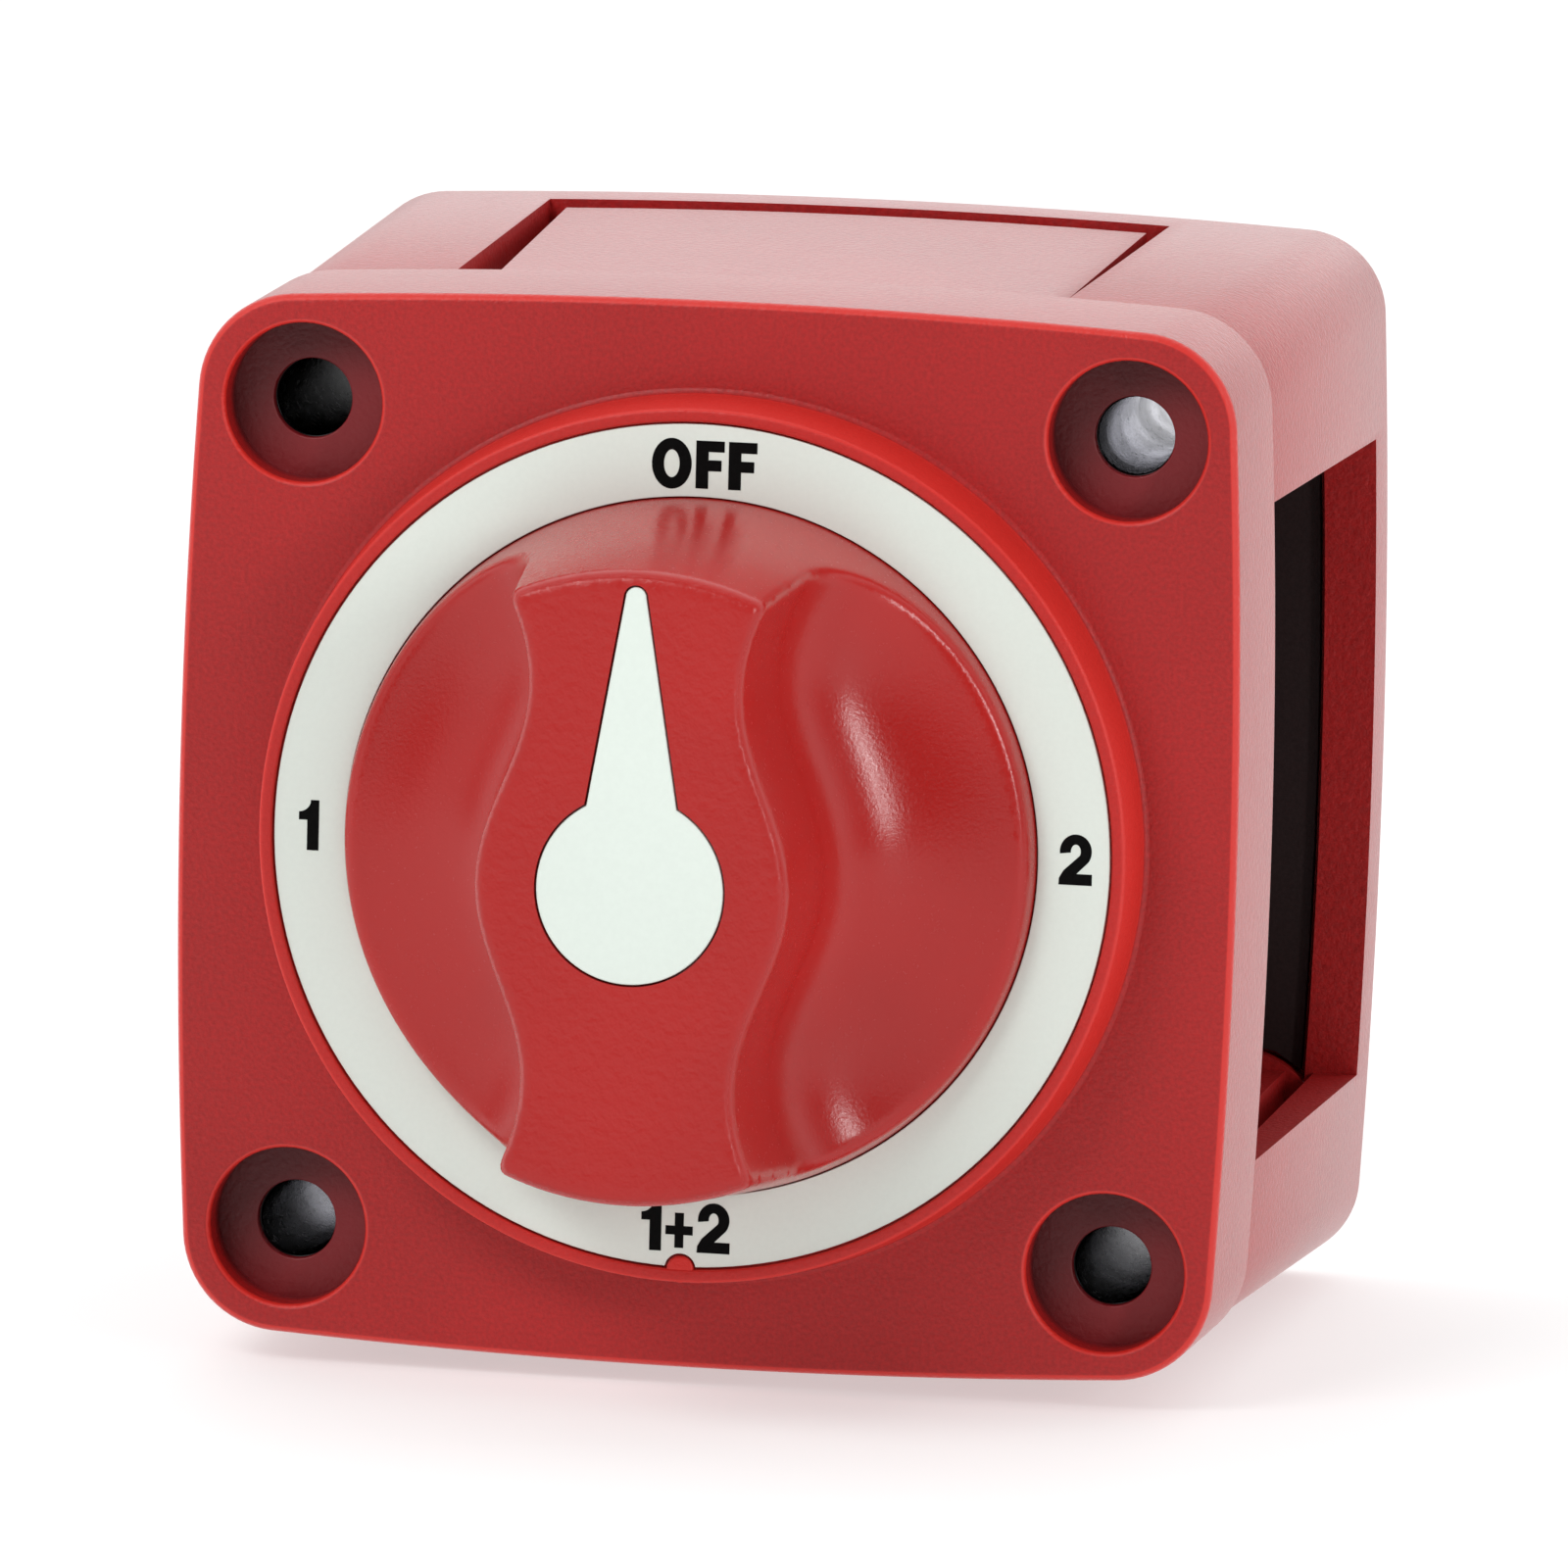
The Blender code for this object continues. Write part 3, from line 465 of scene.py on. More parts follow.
def rounded_edge(outline_values, z, radius, towards, steps=6):
    """Sections that round a pillow's edge over, ending on its flat face at z.

    towards is +1 for a top face and -1 for a bottom one."""
    sections = []
    for i in range(steps + 1):
        angle = math.pi / 2 * i / steps
        by = radius * (1 - math.cos(angle))
        height = z - towards * radius * (1 - math.sin(angle))
        sections.append(at_height(pillow(*inset(outline_values, by)), height))
    return sections


def pointer_outline(clearance, tip_points=13, hub_points=81):
    """The pointer's hub with its tapering spike along +y, grown by clearance on all sides."""
    hub = POINTER_HUB + clearance
    shoulder = POINTER_SHOULDER + clearance
    tip = POINTER_TIP_HALF + clearance
    start = math.asin(shoulder / hub)
    around = arc((0, 0), hub, math.pi / 2 + start, 2.5 * math.pi - start, hub_points)
    point = arc((0, POINTER_TIP_AT - POINTER_TIP_HALF), tip, 0, math.pi, tip_points)
    return around + point


# ---------------------------------------------------------------- the knob's surface, as a distance


def smooth_max(a, b, blend):
    """The larger of two distances, with the edge between their surfaces rounded over about blend."""
    near = np.maximum(blend - np.abs(a - b), 0) / blend
    return np.maximum(a, b) + near * near * blend / 4


def grip_half_width(y):
    """Half width of the grip: widest at the hub, a waist on each side of it, flaring to the ends."""
    distance = np.abs(y)
    middle, swing = (GRIP_CENTRE + GRIP_NECK) / 2, (GRIP_CENTRE - GRIP_NECK) / 2
    hub = middle + swing * np.cos(np.pi * distance / GRIP_NECK_AT)
    flare = GRIP_NECK + GRIP_FLARE * (distance - GRIP_NECK_AT) ** 2
    return np.where(distance > GRIP_NECK_AT, flare, hub)


def scoop_air(x, y, z):
    """Distance to the finger scoop at +x, negative in its air.

    Its drafted wall runs down into a quarter ellipse and on to its flat floor."""
    beside = x - grip_half_width(y)
    foot = SCOOP_DRAFT * (KNOB_TOP - SCOOP_WALL_FOOT)
    wall = SCOOP_DRAFT * (KNOB_TOP - z) - beside
    floor = SCOOP_FLOOR - z
    across = (beside - foot - SCOOP_REACH) / SCOOP_REACH
    deep = SCOOP_WALL_FOOT - SCOOP_FLOOR
    down = (z - SCOOP_WALL_FOOT) / deep
    radius = np.sqrt(across**2 + down**2) + 1e-9
    slope = np.sqrt((across / SCOOP_REACH) ** 2 + (down / deep) ** 2) / radius + 1e-9
    bowl = (radius - 1) / slope
    return np.where(z > SCOOP_WALL_FOOT, wall, np.where(across > 0, floor, bowl))


def knob_distance(x, y, z):
    """Distance to the knob's skin, negative inside: a drafted plug less its two finger scoops."""
    draft = (KNOB_BASE_RADIUS - KNOB_TOP_RADIUS) / (KNOB_TOP - LABEL_TOP)
    side_radius = KNOB_BASE_RADIUS - draft * np.maximum(z - LABEL_TOP, 0)
    side = (np.hypot(x, y) - side_radius) / math.hypot(1, draft)
    solid = smooth_max(side, z - KNOB_TOP, KNOB_EDGE)
    for direction in (1, -1):
        solid = smooth_max(solid, -scoop_air(direction * x, y, z), KNOB_EDGE)
    from_dimple = np.sqrt(sum((value - at) ** 2 for value, at in zip((x, y, z), DIMPLE_AT)))
    solid = smooth_max(solid, DIMPLE_RADIUS - from_dimple, DIMPLE_RADIUS / 2)
    return np.maximum(solid, KNOB_BOTTOM - z)


def skin_of(distance, low, high, step):
    """A closed mesh of the surface where distance is 0.

    Each grid cell that it crosses holds one point, pulled onto the surface."""
    axes = [np.arange(a, b + step, step) for a, b in zip(low, high)]
    field = distance(*np.meshgrid(*axes, indexing="ij"))
    inside = field < 0
    corners = [
        inside[i : i - 1 or None, j : j - 1 or None, k : k - 1 or None]
        for i in (0, 1)
        for j in (0, 1)
        for k in (0, 1)
    ]
    filled = sum(corner.astype(np.int8) for corner in corners)
    cells = np.argwhere((filled > 0) & (filled < 8))
    number = np.full(filled.shape, -1, np.int64)
    number[tuple(cells.T)] = np.arange(len(cells))
    points = np.array(low) + (cells + 0.5) * step
    tiny = 1e-4
    for _ in range(4):
        here = distance(*points.T)
        nudges = np.eye(3) * tiny
        rises = [distance(*(points + nudge).T) - distance(*(points - nudge).T) for nudge in nudges]
        slope = np.stack(rises, axis=1) / (2 * tiny)
        move = slope * (here / np.maximum((slope**2).sum(1), 0.1))[:, None]
        points -= np.clip(move, -step / 2, step / 2)
    faces = []
    for axis in range(3):
        others = [a for a in range(3) if a != axis]
        before = np.take(inside, range(inside.shape[axis] - 1), axis)
        after = np.take(inside, range(1, inside.shape[axis]), axis)
        crossed = np.argwhere(before != after)
        crossed = crossed[(crossed[:, others] > 0).all(1)]
        entering = after[tuple(crossed.T)]
        corners = []
        for first, second in ((0, 0), (1, 0), (1, 1), (0, 1)):
            cell = crossed.copy()
            cell[:, others[0]] -= first
            cell[:, others[1]] -= second
            corners.append(number[tuple(cell.T)])
        quads = np.stack(corners, axis=1)
        flipped = entering if axis != 1 else ~entering
        quads[flipped] = quads[flipped][:, ::-1]
        faces.append(quads)
    mesh = bpy.data.meshes.new("skin")
    mesh.from_pydata(points.tolist(), [], np.concatenate(faces).tolist())
    return mesh


# ---------------------------------------------------------------- materials


def start_material(name):
    material = bpy.data.materials.new(name)
    material.use_nodes = True
    tree = material.node_tree
    return material, tree, tree.nodes["Principled BSDF"]


def add(tree, kind, inputs=(), **settings):
    """A node with its settings made and its inputs linked or filled in, by name or number."""
    node = tree.nodes.new(kind)
    for key, value in settings.items():
        setattr(node, key, value)
    for key, value in dict(inputs).items():
        if isinstance(value, bpy.types.NodeSocket):
            tree.links.new(value, node.inputs[key])
        else:
            node.inputs[key].default_value = value
    return node


def noise(tree, scale, detail=3.0, roughness=0.55):
    """Noise whose scale is in features per millimetre."""
    place = add(tree, "ShaderNodeTexCoord")
    texture = add(
        tree,
        "ShaderNodeTexNoise",
        {"Vector": place.outputs["Object"], "Scale": scale / MM, "Detail": detail, "Roughness": roughness},
    )
    return texture.outputs["Fac"]


def mapped(tree, value, low, high, to_low, to_high, smooth=False):
    node = add(
        tree,
        "ShaderNodeMapRange",
        {"Value": value, "From Min": low, "From Max": high, "To Min": to_low, "To Max": to_high},
    )
    if smooth:
        node.interpolation_type = "SMOOTHSTEP"
    return node.outputs["Result"]


def math_node(tree, operation, *values):
    return add(tree, "ShaderNodeMath", dict(enumerate(values)), operation=operation).outputs[0]


def mixed_colour(tree, factor, first, second):
    node = add(tree, "ShaderNodeMix", {"Factor": factor}, data_type="RGBA")
    for socket, value in ((node.inputs[6], first), (node.inputs[7], second)):
        if isinstance(value, bpy.types.NodeSocket):
            tree.links.new(value, socket)
        else:
            socket.default_value = value
    return node.outputs[2]


def shade(colour, by):
    return (*(min(1.0, c * by) for c in colour), 1)


def moulded(name, colour, roughness, grain, grain_size, speckle=0.1, drift=0.06, specular=0.5):
    """Moulded plastic: a fine pebbled grain, faint speckle and slow drift in colour and gloss.

    grain is the bump's depth in millimetres and grain_size the size of its pebbles."""
    material, tree, shader = start_material(name)
    slow = mapped(tree, noise(tree, 0.05, 2), 0.3, 0.7, 0, 1)
    fine = mapped(tree, noise(tree, 1.4 / grain_size, 2), 0.35, 0.65, 0, 1)
    base = mixed_colour(tree, slow, shade(colour, 1 - drift), shade(colour, 1 + drift))
    dark = mixed_colour(tree, slow, shade(colour, 1 - drift - speckle), shade(colour, 1 + drift - speckle))
    tree.links.new(mixed_colour(tree, fine, dark, base), shader.inputs["Base Color"])
    pebbles = noise(tree, 1 / grain_size, 3, 0.6)
    scuffs = mapped(tree, noise(tree, 0.35, 5, 0.7), 0.55, 0.8, 0, 0.08)
    gloss = mapped(tree, pebbles, 0.3, 0.7, roughness - 0.05, roughness + 0.05)
    tree.links.new(math_node(tree, "ADD", gloss, scuffs), shader.inputs["Roughness"])
    bump = add(tree, "ShaderNodeBump", {"Height": pebbles, "Strength": 1.0, "Distance": grain * MM})
    tree.links.new(bump.outputs["Normal"], shader.inputs["Normal"])
    shader.inputs["IOR"].default_value = 1.5
    shader.inputs["Specular IOR Level"].default_value = specular
    return material


def switch_place(tree):
    """Where a point is in the switch's axes, in millimetres: across, up and out from the back."""
    place = add(tree, "ShaderNodeTexCoord")
    parts = add(tree, "ShaderNodeSeparateXYZ", {0: place.outputs["Object"]})
    across = math_node(tree, "MULTIPLY", parts.outputs["X"], 1 / MM)
    up = math_node(tree, "MULTIPLY", parts.outputs["Z"], 1 / MM)
    out = math_node(tree, "MULTIPLY", parts.outputs["Y"], -1 / MM)
    return across, up, out


def band(tree, value, low, high, ease):
    """1 between low and high, falling to 0 over ease on both sides."""
    rise = mapped(tree, value, low - ease, low, 0, 1)
    fall = mapped(tree, value, high, high + ease, 1, 0)
    return math_node(tree, "MULTIPLY", rise, fall)


def housing_red(name, sheen):
    """Matt red with painted shade in its counterbores, darker towards their upper left, and a painted
    highlight on its rims. Sheen hazes it white at a glancing view.
    """
    material = moulded(name, HOUSING_COLOUR, 0.46, 0.06, 0.36, speckle=0.22, specular=0.35)
    tree = material.node_tree
    shader = tree.nodes["Principled BSDF"]
    across, up, out = switch_place(tree)
    beside = [
        math_node(tree, "SUBTRACT", math_node(tree, "ABSOLUTE", value), HOLE_HALF) for value in (across, up)
    ]
    signs = [math_node(tree, "SIGN", value) for value in (across, up)]
    squares = [math_node(tree, "MULTIPLY", value, value) for value in beside]
    radius = math_node(tree, "SQRT", math_node(tree, "ADD", *squares))
    # painted shade in the counterbores: darker below the rim, and darker towards the upper left of each floor
    within = mapped(tree, radius, COUNTERBORE_RADIUS + 0.1, COUNTERBORE_RADIUS + 0.3, 1, 0)
    deep = mapped(tree, out, BODY_DEPTH - 1.2, COUNTERBORE_SEAT + 0.1, 0, 1, smooth=True)
    near_seat = mapped(tree, out, COUNTERBORE_SEAT - 2, COUNTERBORE_SEAT - 1, 0, 1)
    recess = math_node(tree, "MULTIPLY", within, math_node(tree, "MULTIPLY", deep, near_seat))
    # painted highlight: the front face's rounded rim and the bezel's sides are lightened towards a brighter
    # red
    front_rim = band(tree, out, BODY_DEPTH - 0.42, BODY_DEPTH - 0.04, 0.03)
    bezel_side = band(tree, out, BODY_DEPTH + 0.3, BEZEL_RIM - 0.05, 0.1)
    painted_highlight = math_node(tree, "MAXIMUM", front_rim, bezel_side)
    plain_colour = shader.inputs["Base Color"].links[0].from_socket
    highlighted_colour = mixed_colour(tree, painted_highlight, plain_colour, shade(RIM_HIGHLIGHT_COLOUR, 1))
    lean = math_node(tree, "SUBTRACT", *[math_node(tree, "MULTIPLY", *pair) for pair in zip(beside, signs)])
    shaded_floor_colour = mixed_colour(
        tree,
        mapped(tree, lean, -COUNTERBORE_RADIUS, COUNTERBORE_RADIUS, 0, 1, smooth=True),
        *[shade(PAINTED_RECESS_SHADE, by) for by in PAINTED_RECESS_SHADE_LEVELS],
    )
    tree.links.new(mixed_colour(tree, recess, highlighted_colour, shaded_floor_colour), shader.inputs["Base Color"])
    shader.inputs["Sheen Weight"].default_value = sheen
    shader.inputs["Sheen Roughness"].default_value = 0.4
    return material


def liner_metal(corner, painted_brightness, shaded_mouth, ease):
    """The inside of a corner liner: painted shade, near black, from the counterbore seat down to the given
    depth in millimetres, then clouded metal over ease, its brightness for each corner painted in place of
    reflections.
    """
    material, tree, shader = start_material("liner_" + corner)
    *_, out = switch_place(tree)
    # painted shade near the mouth and painted reflection deeper down: the base colour runs from near black to
    # this corner's brightness
    edge = COUNTERBORE_SEAT - shaded_mouth
    inside = mapped(tree, out, edge, edge - ease, 0.005, painted_brightness, smooth=True)
    cloud = mapped(tree, noise(tree, 0.16, 3, 0.5), 0.36, 0.6, 0.45, 1, smooth=True)
    level = math_node(tree, "MULTIPLY", inside, cloud)
    grey = mixed_colour(tree, level, LINER_DARK, LINER_BRIGHT)
    tree.links.new(grey, shader.inputs["Base Color"])
    tree.links.new(mapped(tree, noise(tree, 2.0, 4), 0.3, 0.7, 0.14, 0.3), shader.inputs["Roughness"])
    shader.inputs["Metallic"].default_value = 1.0
    return material


def knob_red():
    """Semi-gloss scoops and sides under a finely textured grip face."""
    material, tree, shader = start_material("knob_red")
    *_, out = switch_place(tree)
    face = mapped(tree, out, KNOB_TOP - 0.3, KNOB_TOP - 0.05, 0, 1, smooth=True)
    slow = mapped(tree, noise(tree, 0.06, 2), 0.3, 0.7, 0, 1)
    colour = mixed_colour(tree, slow, shade(KNOB_COLOUR, 0.93), shade(KNOB_COLOUR, 1.06))
    tree.links.new(colour, shader.inputs["Base Color"])
    grain = noise(tree, 4.0, 3, 0.6)
    pebbles = noise(tree, 1.8, 2, 0.5)
    gloss = mapped(tree, grain, 0.3, 0.7, 0.18, 0.28)
    matt = mapped(tree, pebbles, 0.3, 0.7, 0.36, 0.48)
    wear = mapped(tree, noise(tree, 0.3, 5, 0.7), 0.55, 0.8, 0, 0.07)
    level = add(tree, "ShaderNodeMix", {"Factor": face, 2: gloss, 3: matt}, data_type="FLOAT")
    tree.links.new(math_node(tree, "ADD", level.outputs[0], wear), shader.inputs["Roughness"])
    shallow, deep = math_node(tree, "MULTIPLY", grain, 0.6), math_node(tree, "MULTIPLY", pebbles, 3.0)
    relief = add(tree, "ShaderNodeMix", {"Factor": face, 2: shallow, 3: deep}, data_type="FLOAT")
    bump = add(tree, "ShaderNodeBump", {"Height": relief.outputs[0], "Strength": 1.0, "Distance": 0.03 * MM})
    tree.links.new(bump.outputs["Normal"], shader.inputs["Normal"])
    shader.inputs["IOR"].default_value = 1.5
    shader.inputs["Specular IOR Level"].default_value = 0.4
    return material


def metal(name, colour, roughness, brushing=0.0, stain=0.25):
    """Plated or bare metal: clouded gloss, faint tarnish and fine machining marks round the switch's axis."""
    material, tree, shader = start_material(name)
    cloud = mapped(tree, noise(tree, 0.4, 5, 0.65), 0.35, 0.7, 0, 1)
    clouded = mixed_colour(tree, cloud, shade(colour, 1.0), shade(colour, 1 - stain))
    tree.links.new(clouded, shader.inputs["Base Color"])
    fine = mapped(tree, noise(tree, 3.0, 3), 0.3, 0.7, -0.03, 0.03)
    level = math_node(tree, "ADD", mapped(tree, cloud, 0, 1, roughness, roughness + 0.12), fine)
    tree.links.new(level, shader.inputs["Roughness"])
    if brushing:
        place = add(tree, "ShaderNodeTexCoord")
        stretched = add(tree, "ShaderNodeMapping", {"Vector": place.outputs["Object"], "Scale": (1, 14, 1)})
        lines = {"Vector": stretched.outputs[0], "Scale": 0.9 / MM, "Detail": 3}
        marks = add(tree, "ShaderNodeTexNoise", lines).outputs["Fac"]
        bump = add(tree, "ShaderNodeBump", {"Height": marks, "Strength": 1.0, "Distance": brushing * MM})
        tree.links.new(bump.outputs["Normal"], shader.inputs["Normal"])
    shader.inputs["Metallic"].default_value = 1.0
    return material


HOUSING_RED = housing_red("housing_red", SHEEN)
RECESS_RED = housing_red("housing_red_recess", 0.0)
KNOB_RED = knob_red()
DIAL_WHITE = moulded("dial_white", DIAL_COLOUR, 0.5, 0.006, 0.5, speckle=0.02, drift=0.02, specular=0.25)
INK_BLACK = moulded("ink_black", INK_COLOUR, 0.6, 0.004, 0.4, speckle=0.3, drift=0.1, specular=0.05)
# painted reflection: the slight red tint of this black stands in for red light bounced off the red housing
BLACK_PLASTIC = moulded("black_plastic", (0.022, 0.012, 0.012), 0.5, 0.02, 0.35, speckle=0.2, specular=0.2)
GREY_PLASTIC = moulded("grey_plastic", (0.30, 0.31, 0.32), 0.38, 0.012, 0.4, speckle=0.06)
RUBBER = moulded("rubber", (0.014, 0.014, 0.015), 0.72, 0.03, 0.25, speckle=0.2)
STEEL = metal("steel", (0.62, 0.62, 0.63), 0.24, 0.008)
COPPER = metal("copper", (0.80, 0.46, 0.30), 0.28, 0.006)

NODE_FINISHES = {
    "housing_red": HOUSING_RED,
    "knob_red": KNOB_RED,
    "dial_white": DIAL_WHITE,
    "black_plastic": BLACK_PLASTIC,
    "grey_plastic": GREY_PLASTIC,
    "rubber": RUBBER,
    "steel": STEEL,
    "copper": COPPER,
}


def dress_cad_nodes():
    """Every CAD node gets the finish of its material slot. Those replaced later are hidden anyway."""
    for subpart in frame["record"]["subparts"]:
        node = NODES[subpart["node"]]
        node.data.materials.clear()
        node.data.materials.append(NODE_FINISHES[subpart["material_slot"]])


# ---------------------------------------------------------------- housing


def flared_bore(at, radius, bottom, top, lip):
    """A cutter for a round hole whose rim at top is rounded over by lip."""
    rim = [
        (radius + lip - lip * math.cos(a), top - lip + lip * math.sin(a))
        for a in [math.radians(80) * i / 5 for i in range(6)]
    ]
    outside = (rim[-1][0] + 0.3, top + 0.2)
    profile = [(0, top + 1), (outside[0], top + 1), outside, *rim[::-1], (radius, bottom), (0, bottom)]
    return turned(profile, at, 64)


def front_housing():
    """Flange with four counterbored corners, the raised bezel and the well that the knob turns in."""
    top = BODY_DEPTH
    flange = [at_height(pillow(*FLANGE_OUTLINE), PARTING)]
    flange += rounded_edge(FRONT_OUTLINE, top, EDGE_ROUND, 1)
    hollow = prism(pillow(*INNER_OUTLINE), PARTING - CLEAR, top - FRONT_WALL)
    towers = [cylinder(at, POST_RADIUS, PARTING - 2 * CLEAR, top - 0.5) for at in HOLES.values()]
    body = cut(loft(flange), cut(hollow, *towers))
    body = join(body, bezel())
    tools = [
        cylinder((0, 0), WELL_RADIUS, WELL_FLOOR, LABEL_TOP + CLEAR, 128),
        cylinder((0, 0), SHAFT_HOLE, PARTING, WELL_FLOOR + CLEAR),
    ]
    seat = COUNTERBORE_SEAT
    for at in HOLES.values():
        tools += [
            flared_bore(at, COUNTERBORE_RADIUS, seat, top, COUNTERBORE_ROUND),
            flared_bore(at, HOLE_RADIUS, seat - 2 * HOLE_LIP, seat, HOLE_ROUND),
            cylinder(at, SLEEVE_BORE, PARTING - CLEAR, seat - HOLE_LIP),
        ]
    body = cut(body, *tools)
    finish_mesh("housing_shell", body, "housing", HOUSING_RED, ["front_housing"], 30)


def bezel():
    """The raised ring with its rounded rim, the label's seat, and the key at six o'clock."""
    seat = LABEL_TOP - LABEL_THICKNESS - 0.1
    below = BODY_DEPTH - FRONT_WALL + 0.3
    root, foot = BEZEL_BASE_RADIUS + BEZEL_ROOT, BEZEL_FILLET
    fillet = [
        (BEZEL_BASE_RADIUS + foot - foot * math.sin(a), BODY_DEPTH + foot - foot * math.cos(a))
        for a in [math.radians(10) + math.radians(78) * i / 6 for i in range(6, -1, -1)]
    ]
    rim = rounded_profile(
        [(BEZEL_INNER, BODY_DEPTH), (BEZEL_INNER, BEZEL_RIM), (BEZEL_TOP_RADIUS, BEZEL_RIM), fillet[0]],
        [0, 0.12, 0.28, 0],
    )
    profile = rim[1:-1] + fillet
    profile += [
        (root, BODY_DEPTH - 0.3),
        (root, below),
        (WELL_RADIUS - 1, below),
        (WELL_RADIUS - 1, seat),
        (BEZEL_INNER, seat),
    ]
    shape = turned(profile, steps=192, closed=True)
    key_top, key_foot = BEZEL_RIM - 0.05, seat - 0.3
    key_profile = [(0, key_top), (KEY_RADIUS, key_top), (KEY_RADIUS, key_foot), (0, key_foot)]
    key = turned(rounded_profile(key_profile, [0, 0.15, 0, 0]), (0, -BEZEL_INNER), 40)
    return join(shape, key)


def label():
    """The printed ring, notched at six o'clock to fit the key, with a crisp eased edge."""
    bottom = LABEL_TOP - LABEL_THICKNESS
    plate = ring(LABEL_INNER, LABEL_OUTER, bottom, LABEL_TOP, steps=192, edge=0.06)
    notch = cylinder((0, -BEZEL_INNER), KEY_RADIUS + 0.15, bottom - 1, LABEL_TOP + 1, 40)
    finish_mesh("dial_label", cut(plate, notch), "housing", DIAL_WHITE, ["label_ring"], 50)


# Letter shapes, as outlines in units of the capitals' height, and the width that each takes


def ellipse(centre, across, up, start, end, count):
    step = math.radians(end - start) / (count - 1)
    angles = [math.radians(start) + i * step for i in range(count)]
    return [(centre[0] + across * math.cos(a), centre[1] + up * math.sin(a)) for a in angles]


def letter_o():
    middle = (0.42, 0.5)
    return [ellipse(middle, 0.42, 0.53, 0, 354, 60), ellipse(middle, 0.165, 0.29, 0, 354, 60)]


def letter_f():
    return [
        [(0, 0), (0.265, 0), (0.265, 0.37), (0.54, 0.37), (0.54, 0.6), (0.265, 0.6), (0.265, 0.77)]
        + [(0.6, 0.77), (0.6, 1.0), (0, 1.0)]
    ]


def figure_1():
    flag = ellipse((0.0, 1.08), 0.26, 0.27, -90, -20, 8)
    return [[(0.18, 0), (0.43, 0), (0.43, 1.06), (0.25, 1.06), *flag[::-1], (0, 0.64), (0.18, 0.64)]]


def figure_2():
    middle = (0.35, 0.70)
    outer = ellipse(middle, 0.335, 0.36, 188, -38, 30)
    inner = ellipse(middle, 0.105, 0.15, -32, 188, 20)
    foot = [(0.37, 0.235), (0.70, 0.235), (0.70, 0), (0, 0), (0.01, 0.14), (0.10, 0.30)]
    return [outer + foot + inner]


def plus_sign():
    half, arm, stroke, middle = 0.29, 0.37, 0.095, 0.45
    corners = [(stroke, -arm), (stroke, -stroke), (half, -stroke)]
    quarter = [(half, stroke), (stroke, stroke), (stroke, arm)]
    right = corners + quarter
    left = [(-x, y) for x, y in right[::-1]]
    return [[(half + x, middle + y) for x, y in right + left]]


LETTERS = {
    "O": (letter_o, 0.84),
    "F": (letter_f, 0.60),
    "1": (figure_1, 0.43),
    "2": (figure_2, 0.70),
    "+": (plus_sign, 0.58),
}


def dial_word(name, text, centre):
    """A word of black ink on the label, upright and centred on a point."""
    curve = bpy.data.curves.new(name, "CURVE")
    curve.dimensions = "2D"
    curve.fill_mode = "BOTH"
    curve.extrude = INK_THICKNESS / 2
    width = sum(LETTERS[letter][1] for letter in text) + LETTER_GAP * (len(text) - 1)
    left = centre[0] - width * CAP_HEIGHT / 2
    foot = centre[1] - CAP_HEIGHT / 2
    for letter in text:
        shape, advance = LETTERS[letter]
        for outline in shape():
            spline = curve.splines.new("POLY")
            spline.points.add(len(outline) - 1)
            spline.use_cyclic_u = True
            for point, (x, y) in zip(spline.points, outline):
                point.co = (left + x * CAP_HEIGHT, foot + y * CAP_HEIGHT, 0, 1)
        left += (advance + LETTER_GAP) * CAP_HEIGHT
    holder = bpy.data.objects.new(name, curve)
    bpy.context.scene.collection.objects.link(holder)
    mesh = bpy.data.meshes.new_from_object(holder.evaluated_get(bpy.context.evaluated_depsgraph_get()))
    bpy.data.objects.remove(holder)
    bm = bmesh.new()
    bm.from_mesh(mesh)
    bmesh.ops.remove_doubles(bm, verts=bm.verts, dist=1e-4)
    bmesh.ops.translate(bm, verts=bm.verts, vec=(0, 0, LABEL_TOP + INK_THICKNESS / 2 - INK_SINK))
    mesh = mesh_from(name, bm)
    finish_mesh(name, mesh, "housing", INK_BLACK)


def dial_lettering():
    dial_word("dial_off", "OFF", DIAL_PLACES["OFF"])
    dial_word("dial_1", "1", DIAL_PLACES["1"])
    dial_word("dial_2", "2", DIAL_PLACES["2"])
    dial_word("dial_both", "1+2", DIAL_PLACES["1+2"])


def sleeves():
    """Metal liners in the corner holes, with their edges rounded off."""
    outer, inner = SLEEVE_RADIUS, SLEEVE_HOLE
    section = [(outer, SLEEVE_TOP), (outer, SLEEVE_FOOT), (inner, SLEEVE_FOOT), (inner, SLEEVE_TOP)]
    for corner, at in HOLES.items():
        liner = turned(rounded_profile(section, SLEEVE_ROUND, True), at, 64, closed=True)
        node = "mounting_sleeve_" + corner
        metal_of_bore = liner_metal(corner, *LINER_PAINTED_LIGHT[corner])
        finish_mesh("liner_" + corner, liner, "housing", metal_of_bore, [node])


# ---------------------------------------------------------------- rear cover and plates


def window_cutter(side):
    """Opens one side of the cover.

    The right window, side 0, is straight. The ones with plates taper slightly towards the front."""
    near, far = INNER_HALF / 2, BACK_OUTLINE[0] + CLEAR
    ends = [PLATED_WINDOW_BACK_ENDS, PLATED_WINDOW_FRONT_ENDS]
    if side == 0:
        ends = [(-WINDOW_HALF, WINDOW_HALF)] * 2
    sections = []
    for (start, stop), z in zip(ends, (WINDOW_BACK, PARTING + CLEAR)):
        sections.append(at_height([(start, near), (stop, near), (stop, far), (start, far)], z))
    return turn_quarter(loft(sections), side - 1)


def turn_quarter(mesh, quarters):
    mesh.transform(Matrix.Rotation(quarters * math.pi / 2, 4, "Z"))
    return mesh


